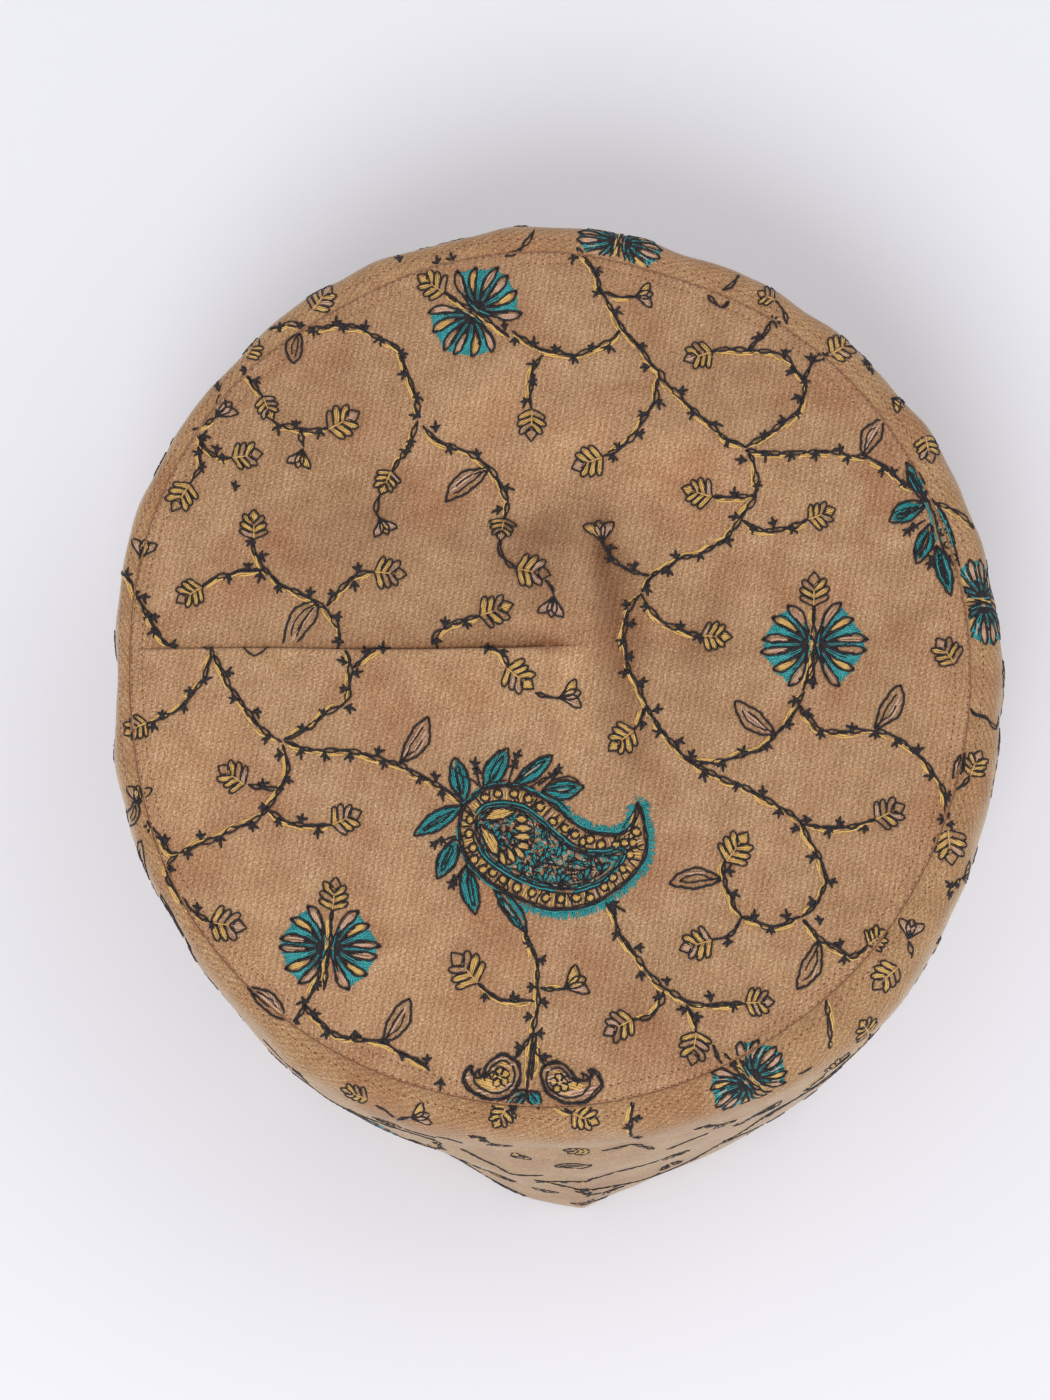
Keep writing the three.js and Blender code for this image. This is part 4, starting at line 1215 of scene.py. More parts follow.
def grow(start, way, long, bend, end, yellow, ticks=True):
    """A shoot that grows in a bend and ends in a motif; it is left out where others lie."""
    n = 12
    line = [start]
    d = way / abs(way)
    for k in range(n):
        line.append(line[-1] + d * long / n)
        d = d * np.exp(1j * bend / n)
    line = np.array(line)
    size = {"bud": 6.6, "tulip": 4.9, "leaf": 10.4, "flower": 21.0, "": 0}[end]
    tip = line[-1] + d * size
    room = band_long(np.array([tip.real / BAND_ROUND]))[0] - 3
    if not (2.5 < -tip.imag < room) or not (2.0 < -line[-1].imag < room):
        return False
    reach = {"bud": 3.4, "tulip": 2.6, "leaf": 2.6, "flower": 10.5, "": 1.5}[end]
    if not free_at(line[-1] + d * size * 0.5, reach) or not free_at(line[n // 2 + 1], 1.2):
        return False
    stem("band", line, yellow)
    if ticks:
        for m, k in enumerate(range(2, n - 1, 3)):
            t = line[k + 1] - line[k]
            side = 1j if m % 2 else -1j
            tick("band", line[k] + t / abs(t) * side * 0.9, side * t)
    if end == "bud":
        bud("band", line[-1], tip)
    elif end == "tulip":
        tulip("band", line[-1], tip)
    elif end == "leaf":
        leaf("band", line[-1], tip, 4.0, 0.07 if bend > 0 else -0.07)
    elif end == "flower":
        flower("band", line[-1] + d * 9.6, d, radius=10.4)
    return True


def band_repeat():
    """A vine that swings up and down the band, with shoots on both sides of each swing."""
    swings = 6
    around = TURN * BAND_ROUND
    one = around / swings
    u = np.arange(0, around + 0.1, 2.0)
    v = 47 - 19 * np.sin(u / one * TURN + 0.5) - 4.0 * np.sin(u / one * 2 * TURN + 1.1) + 2.0 * np.sin(u / around * TURN * 5 + 2)
    vine = u - 1j * v
    keep = np.array([free_at(p, 3.0) for p in vine])
    # the vine itself, left out where the charted motifs lie
    runs = np.split(np.arange(len(vine)), np.flatnonzero(~keep))
    for run in runs:
        run = [k for k in run if keep[k]]
        if len(run) > 4:
            stem("band", vine[run], -1j - 0.3)
    for k in range(3, len(vine) - 1, 4):
        if keep[k]:
            t = vine[k + 1] - vine[k - 1]
            side = 1j if (k // 4) % 2 else -1j
            tick("band", vine[k] + side * t / abs(t) * 1.1, side * t)
    order = ("flower", "bud", "leaf", "bud", "tulip", "bud", "flower", "tulip", "bud", "leaf")
    for swing in range(swings + 1):
        for m, (share, up, long, turn, bend) in enumerate((
                (0.03, 1, 15, 0.9, 0.9), (0.26, -1, 20, 0.75, -0.7), (0.13, 1, 11, 0.8, -0.8), (0.40, 1, 13, 0.7, 0.9),
                (0.55, -1, 13, 0.8, 0.8), (0.68, 1, 12, 0.9, -0.9), (0.76, 1, 22, 0.95, 0.7), (0.86, -1, 12, 0.8, -0.7),
                (0.48, 1, 24, 1.1, 0.5), (0.94, -1, 15, 0.8, 0.8))):
            k = int(((swing + share) * one) / 2.0) % (len(vine) - 2)
            t = vine[k + 1] - vine[k]
            t = t / abs(t)
            jig = rng.uniform(0.9, 1.12)
            grow(vine[k], t * np.exp(1j * up * turn), long * jig, -up * bend * rng.uniform(0.7, 1.2),
                 order[(m + 3 * (swing % 2)) % len(order)], -1 - 1j)
    # short sprays fill what is left over
    for _ in range(900):
        p = complex(rng.uniform(0, around), -rng.uniform(5, 88))
        if not free_at(p, 5.6):
            continue
        way = np.exp(1j * rng.uniform(0, TURN))
        kind = ("bud", "tulip", "leaf", "bud", "tulip")[int(rng.integers(0, 5))]
        grow(p, way, rng.uniform(5, 11), rng.uniform(-1.3, 1.3), kind, -1, ticks=True)


band_repeat()

# ---------------------------------------------------------------------------------------------------------
# Sewing: the topstitched row inside the crown seam, and the hem's running stitch near the rim
# ---------------------------------------------------------------------------------------------------------
def topstitch():
    a = 0.0
    while a < TURN:
        r = float(table_at(SEAM_R, np.array([a]))[0] - topstitch_in(np.array([a]))[0])
        pitch, long = 1.62 * rng.uniform(0.92, 1.08), 1.02
        mid_a = a + 0.5 * long / r
        ang = np.array([a, mid_a, a + long / r])
        rr = table_at(SEAM_R, ang) - topstitch_in(ang) + rng.uniform(-0.08, 0.08)
        uv = np.stack([rr * np.cos(ang), rr * np.sin(ang)], -1)
        STROKES.append(("crown", "seam", uv, 0.14, 0.12, 0.06, 0))
        a += pitch / r
    # short stitches that show in the seam itself, and a second row on the band's shoulder
    a = 0.0
    while a < TURN:
        ang = np.array([a, a + 0.006, a + 0.012]) + rng.uniform(-0.001, 0.001)
        if rng.random() < 0.82:
            rr = table_at(SEAM_R, ang) - 0.38 + rng.uniform(-0.08, 0.08)
            STROKES.append(("crown", "seam", np.stack([rr * np.cos(ang), rr * np.sin(ang)], -1), 0.13, 0.12, 0.05, 0))
        a += 0.0185
    a = 0.0
    while a < TURN:
        ang = np.array([a, a + 0.0055, a + 0.011])
        v = 2.7 + 0.35 * np.sin(4 * ang + 0.4) + 0.25 * np.sin(9 * ang) + rng.uniform(-0.08, 0.08)
        STROKES.append(("band", "seam", np.stack([ang * BAND_ROUND, v], -1), 0.14, 0.18, 0.10, 0))
        a += 0.0172 * rng.uniform(0.92, 1.08)
    a = 0.0
    while a < TURN:
        ang = np.array([a, a + 0.7 / 97, a + 1.4 / 97])
        v = band_long(ang) - 5.0 + 0.2 * np.sin(17 * ang)
        STROKES.append(("band", "seam", np.stack([ang * BAND_ROUND, v], -1), 0.14, 0.12, 0.04, 0))
        a += rng.uniform(2.7, 3.1) / 97


topstitch()


# ---------------------------------------------------------------------------------------------------------
# Meshes
# ---------------------------------------------------------------------------------------------------------
def to_row(p):
    return (p + MIDDLE) / 1000.0


def mesh_object(name, verts, faces, uvs, material):
    """faces is a list of index arrays (quads and triangles); uvs maps a layer name to loop arrays, one a group."""
    me = bpy.data.meshes.new(name)
    polys = []
    for group in faces:
        polys.extend(group.tolist())
    me.from_pydata(to_row(verts).tolist(), [], polys)
    for layer, groups in uvs.items():
        data = np.concatenate([g.reshape(-1, 2) for g in groups]).astype(np.float32)
        me.uv_layers.new(name=layer).data.foreach_set("uv", data.ravel())
    me.polygons.foreach_set("use_smooth", np.ones(len(me.polygons), bool))
    me.materials.append(material)
    me.update()
    ob = bpy.data.objects.new(name, me)
    bpy.context.scene.collection.objects.link(ob)
    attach(ob, "root")
    return ob


# ---- materials ------------------------------------------------------------------------------------------
def srgb(r, g, b):
    return tuple((c / 255 / 12.92 if c / 255 <= 0.04045 else ((c / 255 + 0.055) / 1.055) ** 2.4) for c in (r, g, b)) + (1.0,)


class Nodes:
    def __init__(self, name):
        self.mat = bpy.data.materials.new(name)
        self.mat.use_nodes = True
        self.tree = self.mat.node_tree
        self.tree.nodes.clear()
        self.out = self.new("ShaderNodeOutputMaterial")
        self.shader = self.new("ShaderNodeBsdfPrincipled")
        self.link(self.shader.outputs[0], self.out.inputs[0])

    def new(self, kind, **sets):
        node = self.tree.nodes.new(kind)
        for key, value in sets.items():
            setattr(node, key, value)
        return node

    def link(self, a, b):
        self.tree.links.new(a, b)

    def put(self, node, values):
        for key, value in values.items():
            if hasattr(value, "is_output"):
                self.link(value, node.inputs[key])
            else:
                node.inputs[key].default_value = value
        return node

    def math(self, op, a, b=None, c=None, clamp=False):
        node = self.new("ShaderNodeMath", operation=op, use_clamp=clamp)
        for k, value in enumerate((a, b, c)):
            if value is None:
                continue
            if hasattr(value, "is_output"):
                self.link(value, node.inputs[k])
            else:
                node.inputs[k].default_value = value
        return node.outputs[0]

    def mix(self, kind, factor, a, b):
        node = self.new("ShaderNodeMix", data_type="RGBA", blend_type=kind)
        for key, value in ((0, factor), (6, a), (7, b)):
            if hasattr(value, "is_output"):
                self.link(value, node.inputs[key])
            else:
                node.inputs[key].default_value = value
        return node.outputs[2]

    def ramp(self, value, stops):
        node = self.new("ShaderNodeValToRGB")
        el = node.color_ramp.elements
        while len(el) > 1:
            el.remove(el[0])
        el[0].position, el[0].color = stops[0]
        for pos, col in stops[1:]:
            new = el.new(pos)
            new.color = col
        self.link(value, node.inputs[0])
        return node.outputs[0]

    def uv(self, layer):
        return self.new("ShaderNodeUVMap", uv_map=layer).outputs[0]

    def noise(self, vector, scale, detail=2.0, rough=0.5):
        node = self.new("ShaderNodeTexNoise")
        self.put(node, {"Vector": vector, "Scale": scale, "Detail": detail, "Roughness": rough})
        return node.outputs[0]

    def mapping(self, vector, scale=(1, 1, 1), turn=0.0, shift=(0, 0, 0)):
        node = self.new("ShaderNodeMapping")
        self.put(node, {"Vector": vector, "Scale": scale, "Rotation": (0, 0, math.radians(turn)), "Location": shift})
        return node.outputs[0]


def wool_material(name, turn, warm, tint=(1.0, 1.0, 1.0)):
    """Camel twill: fine slanting ribs, mottled yarn, the soft sheen of its fuzz, a darker red-brown line painted along
    the seam as the shade of its crease, painted shade in the dips and painted highlight on the rises of the crown's
    relief, and a tint for painted shade on the band's wall.
    """
    m = Nodes(name)
    uv = m.uv("cloth")
    ribs_at = m.mapping(uv, turn=turn)
    wave = m.new("ShaderNodeTexWave", wave_type="BANDS", bands_direction="X", wave_profile="SIN")
    m.put(wave, {"Vector": ribs_at, "Scale": 0.242, "Distortion": 2.6, "Detail": 3.0, "Detail Scale": 1.0,
                 "Detail Roughness": 0.65})
    ribs = wave.outputs[1]
    # the twill line crosses the ribs at a slant, fainter than they are
    cross = m.new("ShaderNodeTexWave", wave_type="BANDS", bands_direction="X", wave_profile="SIN")
    m.put(cross, {"Vector": m.mapping(ribs_at, turn=52), "Scale": 0.40, "Distortion": 3.0, "Detail": 3.0,
                  "Detail Scale": 1.3, "Detail Roughness": 0.65})
    yarn = m.noise(m.mapping(ribs_at, scale=(2.0, 0.9, 1)), 1.3, 4.0, 0.7)
    grain = m.noise(uv, 2.6, 3.0, 0.7)
    broad = m.noise(uv, 0.040, 3.0, 0.55)
    patch = m.noise(m.mapping(uv, shift=(31, 12, 0)), 0.16, 3.0, 0.6)
    tone = m.math("ADD", m.math("MULTIPLY", ribs, 0.050), m.math("MULTIPLY", yarn, 0.36))
    tone = m.math("ADD", tone, m.math("MULTIPLY", cross.outputs[1], 0.03))
    tone = m.math("ADD", tone, m.math("MULTIPLY", grain, 0.62))
    tone = m.math("ADD", tone, m.math("MULTIPLY", patch, 0.16))
    colour = m.ramp(tone, [(0.43, srgb(109, 80, 57)), (0.55, srgb(150, 114, 82)), (0.65, srgb(179, 142, 107)),
                           (0.77, srgb(216, 187, 155))])
    wash = m.ramp(broad, [(0.32, srgb(240, 224, 218)), (0.5, (1, 1, 1, 1)), (0.70, (1.0, 1.0, 0.97, 1))])
    colour = m.mix("MULTIPLY", 1.0, colour, wash)
    # painted shade: the tint makes the band's copy of the twill a little darker and greyer, for the light and floor
    # bounce on its wall
    colour = m.mix("MULTIPLY", 1.0, colour, (*tint, 1.0))
    # reddish and pale stray fibres
    fibre = m.noise(m.mapping(uv, scale=(1.0, 1.0, 1), shift=(7, 3, 0)), 2.1, 4.0, 0.75)
    pale = m.math("MULTIPLY", m.math("SUBTRACT", fibre, 0.58), 6.0, clamp=True)
    colour = m.mix("MIX", m.math("MULTIPLY", pale, 0.38), colour, srgb(206, 180, 150))
    red = m.math("MULTIPLY", m.math("SUBTRACT", 0.42, fibre), 6.0, clamp=True)
    colour = m.mix("MIX", m.math("MULTIPLY", red, 0.34), colour, srgb(124, 78, 54))
    edge = m.new("ShaderNodeSeparateXYZ")
    m.link(m.uv("edge"), edge.inputs[0])
    # painted shade of the seam's crease: a thin darker red-brown line along the seam
    near = m.math("POWER", 2.718, m.math("MULTIPLY", edge.outputs[0], -5.5))
    colour = m.mix("MIX", m.math("MULTIPLY", near, 0.52), colour, srgb(112, 62, 44))
    # a little darker and warmer over the first few mm from the seam
    wide = m.math("POWER", 2.718, m.math("MULTIPLY", edge.outputs[0], -0.16))
    colour = m.mix("MULTIPLY", m.math("MULTIPLY", wide, 0.12), colour, srgb(*warm))
    # painted shade, dark and red, in the hollows of the relief and painted highlight on its rises, both read from the
    # edge layer's second coordinate
    painted_shade_share = m.math("MULTIPLY", m.math("SUBTRACT", edge.outputs[1], 0.5), 2.0, clamp=True)
    # rise is the share of painted highlight
    rise = m.math("MULTIPLY", m.math("SUBTRACT", 0.5, edge.outputs[1]), 2.0, clamp=True)
    colour = m.mix("MULTIPLY", painted_shade_share, colour, (0.47, 0.345, 0.275, 1.0))
    colour = m.mix("MULTIPLY", rise, colour, (1.62, 1.66, 1.66, 1.0))
    bump_h = m.math("ADD", m.math("MULTIPLY", ribs, 0.22), m.math("MULTIPLY", yarn, 0.5))
    bump_h = m.math("ADD", bump_h, m.math("MULTIPLY", cross.outputs[1], 0.12))
    bump_h = m.math("ADD", bump_h, m.math("MULTIPLY", grain, 0.65))
    bump = m.new("ShaderNodeBump")
    m.put(bump, {"Height": bump_h, "Strength": 0.75, "Distance": 0.00026})
    rough = m.math("ADD", 0.86, m.math("MULTIPLY", yarn, 0.12))
    m.put(m.shader, {"Base Color": colour, "Roughness": rough, "Normal": bump.outputs[0], "Sheen Weight": 0.55,
                     "Sheen Roughness": 0.36, "Sheen Tint": (0.95, 0.93, 0.82, 1.0), "Specular IOR Level": 0.12})
    return m.mat


def thread_material(name, dark, mid, light, rough, sheen):
    """Stranded thread: a two-ply twist in the bump, the shade drifting along it and from strand to strand."""
    m = Nodes(name)
    uv = m.uv("strand")
    at = m.new("ShaderNodeSeparateXYZ")
    m.link(uv, at.inputs[0])
    turn = m.math("ADD", m.math("MULTIPLY", at.outputs[0], TURN / 0.75), m.math("MULTIPLY", at.outputs[1], 2 * TURN))
    ply = m.math("ADD", m.math("MULTIPLY", m.math("SINE", turn), 0.5), 0.5)
    drift = m.noise(m.mapping(uv, scale=(0.55, 3.0, 1)), 1.0, 3.0, 0.65)
    fine = m.noise(m.mapping(uv, scale=(1.4, 9.0, 1)), 1.6, 2.0, 0.6)
    tone = m.math("ADD", m.math("MULTIPLY", drift, 0.65), m.math("MULTIPLY", fine, 0.25))
    tone = m.math("ADD", tone, m.math("MULTIPLY", ply, 0.16))
    colour = m.ramp(tone, [(0.34, srgb(*dark)), (0.54, srgb(*mid)), (0.76, srgb(*light))])
    bump = m.new("ShaderNodeBump")
    m.put(bump, {"Height": m.math("ADD", ply, m.math("MULTIPLY", fine, 0.5)), "Strength": 0.6, "Distance": 0.00012})
    m.put(m.shader, {"Base Color": colour, "Roughness": m.math("ADD", rough, m.math("MULTIPLY", fine, 0.12)),
                     "Normal": bump.outputs[0], "Sheen Weight": sheen, "Sheen Roughness": 0.4,
                     "Sheen Tint": tuple(c for c in srgb(*light)[:3]) + (1.0,), "Specular IOR Level": 0.35})
    return m.mat


WOOL_CROWN = wool_material("camel_twill_crown", 11, (205, 150, 122))
# the band's tint is painted shade for the light on its wall
WOOL_BAND = wool_material("camel_twill_band", 60, (222, 178, 150), (0.95, 0.955, 0.905))
THREADS = {
    "ink": (thread_material("blue_black_thread", (22, 19, 22), (35, 31, 35), (58, 53, 58), 0.50, 0.08), "black_thread"),
    "yellow": (thread_material("old_gold_thread", (156, 118, 60), (218, 176, 100), (246, 216, 146), 0.42, 0.15), "yellow_thread"),
    "teal": (thread_material("teal_thread", (12, 72, 84), (36, 144, 146), (98, 200, 194), 0.42, 0.15), "teal_thread"),
    "beige": (thread_material("pink_beige_thread", (152, 116, 94), (202, 163, 136), (228, 196, 168), 0.48, 0.15), "beige_thread"),
    "seam": (thread_material("red_brown_thread", (82, 42, 30), (108, 60, 44), (138, 86, 64), 0.7, 0.1), "seam_thread"),
}


# ---- cloth ----------------------------------------------------------------------------------------------
def reach_from_dart(ray):
    low, high = np.zeros_like(ray), np.full_like(ray, 140.0)
    for _ in range(40):
        mid = (low + high) / 2
        x, y = DART[0] + mid * np.cos(ray), DART[1] + mid * np.sin(ray)
        inside = np.hypot(x, y) < table_at(SEAM_R, np.arctan2(y, x)) - 0.02
        low, high = np.where(inside, mid, low), np.where(inside, high, mid)
    return low


def crown_cloth():
    dart_deg = math.degrees(math.atan2(DART[2] - DART[1], -SEAM_R[12] - DART[0])) % 360
    even = np.arange(0, 360, 360 / 420)
    close = dart_deg + np.array([-1.3, -0.8, -0.5, -0.34, -0.22, -0.13, -0.06, -0.015, 0.015, 0.06, 0.13, 0.22, 0.34, 0.5,
                                 0.8, 1.3])
    rays = np.sort(np.concatenate([even[np.abs(even - dart_deg) > 1.5], close]))
    ray = np.radians(rays)
    reach = reach_from_dart(ray)
    top = np.concatenate([np.linspace(0.012, 0.93, 74), np.linspace(0.937, 1.0, 16)])
    low = np.concatenate([np.linspace(1.0, 0.92, 5), np.linspace(0.86, 0.05, 18)])
    share = np.concatenate([top, low])
    under = np.concatenate([np.zeros(len(top)), np.ones(len(low))])
    n_r, n_s = len(ray), len(share)
    d = share[None] * reach[:, None]
    x = DART[0] + d * np.cos(ray)[:, None]
    y = DART[1] + d * np.sin(ray)[:, None]
    z = crown_height(x, y)
    seam = table_at(SEAM_R, np.arctan2(y, x))
    gap = np.maximum(seam - np.hypot(x, y), 0)
    flat = crown_height(x, y, fine=False)
    below = np.minimum(flat, crown_height(x, y)) - CLOTH - 0.9 * smooth((8.0 - gap) / 1.2)
    below = np.where(gap < 0.3, SEAM_Z - 3.4, below)
    z = np.where(under[None] > 0, below, z)
    verts = np.stack([x, y, z], -1).reshape(-1, 3)
    i = np.arange(n_r)[:, None]
    j = np.arange(n_s - 1)[None]
    i2 = (i + 1) % n_r
    quads = np.stack([i * n_s + j, i * n_s + j + 1, i2 * n_s + j + 1, i2 * n_s + j], -1).reshape(-1, 4)
    top_c = len(verts)
    zc = float(crown_height(np.array([DART[0]]), np.array([DART[1]]))[0])
    verts = np.concatenate([verts, [[DART[0], DART[1], zc], [DART[0], DART[1], zc - CLOTH]]])
    k = np.arange(n_r)
    k2 = (k + 1) % n_r
    cap = np.stack([np.full(n_r, top_c), k * n_s, k2 * n_s], -1)
    bottom = np.stack([np.full(n_r, top_c + 1), k2 * n_s + n_s - 1, k * n_s + n_s - 1], -1)
    tris = np.concatenate([cap, bottom])
    xy = verts[:, :2]
    gap_all = np.maximum(table_at(SEAM_R, np.arctan2(xy[:, 1], xy[:, 0])) - np.hypot(xy[:, 0], xy[:, 1]), 0)
    upper = np.concatenate([np.tile(under == 0, n_r), [True, False]])
    # the edge layer's second coordinate carries the painted shade and painted highlight of the crown's upper face; its
    # first is the distance from the seam
    painted_shade = np.where(upper, crown_painted_shade(xy[:, 0], xy[:, 1]), 0.0)
    edge = np.stack([gap_all, 0.5 + 0.5 * np.clip(painted_shade, -1, 1)], -1)
    uvs = {"cloth": [xy[quads], xy[tris]], "edge": [edge[quads], edge[tris]]}
    ob = mesh_object("crown_cloth", verts, [quads, tris], uvs, WOOL_CROWN)
    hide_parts("crown_panel")
    return ob


def band_cloth():
    n_a = 540
    a = np.arange(n_a) * TURN / n_a
    long = band_long(a)
    near = np.array([0, 0.25, 0.5, 0.8, 1.15, 1.6, 2.1, 2.6, 3.0, 3.4, 3.9, 4.6, 5.4, 6.3])
    rows = 50
    out_v = np.concatenate([np.tile(near, (n_a, 1)),
                            7.4 + (long[:, None] - 7.4 - 0.9) * np.linspace(0, 1, rows)[None]], 1)
    aa = np.tile(a[:, None], (1, out_v.shape[1]))
    r, z = band_section(aa, out_v)
    # the rim's turned edge
    rim_r, _ = band_section(a, long)
    turn_rows = [(rim_r - 0.06, 0.45), (rim_r - 0.28, 0.12), (rim_r - 0.65, 0.0), (rim_r - CLOTH + 0.5, 0.0),
                 (rim_r - CLOTH + 0.12, 0.18), (rim_r - CLOTH - 0.02, 0.7)]
    # the inside: the outside moved in by the cloth; the turned-in hem lies thicker over the lowest 12 mm
    share = np.linspace(0, 1, 24)
    in_v = (long[:, None] - 1.6) * (1 - share[None]) + 2.2 * share[None]
    ai = np.tile(a[:, None], (1, in_v.shape[1]))
    r0, z0 = band_section(ai, in_v)
    r1, z1 = band_section(ai, np.minimum(in_v + 1.2, long[:, None]))
    r2, z2 = band_section(ai, np.maximum(in_v - 1.2, 0))
    dr, dz = r1 - r2, z1 - z2
    size = np.hypot(dr, dz) + 1e-9
    hem = smooth((12.5 - (long[:, None] - in_v)) / 0.8)
    deep = CLOTH + 0.35 * hem
    ri, zi = r0 + dz / size * deep, z0 - dr / size * deep
    seam = table_at(SEAM_R, a) + 0.05
    ri[:, -1], zi[:, -1] = seam + 0.6, SEAM_Z - 3.9
    close_r, close_z = seam + 0.02, np.full(n_a, SEAM_Z - 3.4)
    rr = np.concatenate([r, np.stack([t[0] for t in turn_rows], -1), ri, close_r[:, None]], 1)
    zz = np.concatenate([z, np.stack([np.full(n_a, t[1]) for t in turn_rows], -1), np.maximum(zi, 1.2), close_z[:, None]], 1)
    m = rr.shape[1]
    vv = np.concatenate([out_v, np.tile(long[:, None], (1, len(turn_rows))) + np.arange(len(turn_rows)) * 0.4,
                         2 * long[:, None] - in_v + 2.4, (2 * long[:, None] + 2.4)], 1)
    verts = np.stack([rr * np.cos(a)[:, None], rr * np.sin(a)[:, None], zz], -1).reshape(-1, 3)
    i = np.arange(n_a)[:, None]
    j = np.arange(m)[None]
    i2, j2 = (i + 1) % n_a, (j + 1) % m
    quads = np.stack([i * m + j, i * m + j2, i2 * m + j2, i2 * m + j], -1).reshape(-1, 4)
    uu = np.tile((a * BAND_ROUND)[:, None], (1, m))
    u_next = np.tile(((np.arange(n_a) + 1) * TURN / n_a * BAND_ROUND)[:, None], (1, m))
    v_next = np.concatenate([vv[:, 1:], vv[:, -1:] + 1.0], 1)
    v_right = np.roll(vv, -1, 0)
    v_right_next = np.roll(v_next, -1, 0)
    cloth = np.stack([np.stack([uu, -vv], -1), np.stack([uu, -v_next], -1), np.stack([u_next, -v_right_next], -1),
                      np.stack([u_next, -v_right], -1)], 2).reshape(-1, 2)
    d_edge = vv
    d_next = v_next
    plain = np.full_like(d_edge, 0.5)
    e = np.stack([np.stack([d_edge, plain], -1), np.stack([d_next, plain], -1), np.stack([d_next, plain], -1),
                  np.stack([d_edge, plain], -1)], 2).reshape(-1, 2)
    ob = mesh_object("band_cloth", verts, [quads], {"cloth": [cloth], "edge": [e]}, WOOL_BAND)
    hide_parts("side_band")
    return ob


def outward(ob):
    """Turns a closed mesh's faces outward."""
    me = ob.data
    co = np.empty(len(me.vertices) * 3, np.float32)
    me.vertices.foreach_get("co", co)
    co = co.reshape(-1, 3).astype(float)
    me.calc_loop_triangles()
    tri = np.empty(len(me.loop_triangles) * 3, np.int32)
    me.loop_triangles.foreach_get("vertices", tri)
    p = co[tri.reshape(-1, 3)] - co.mean(0)
    if np.einsum("ij,ij->i", p[:, 0], np.cross(p[:, 1], p[:, 2])).sum() < 0:
        me.flip_normals()


for ob in (crown_cloth(), band_cloth()):
    outward(ob)


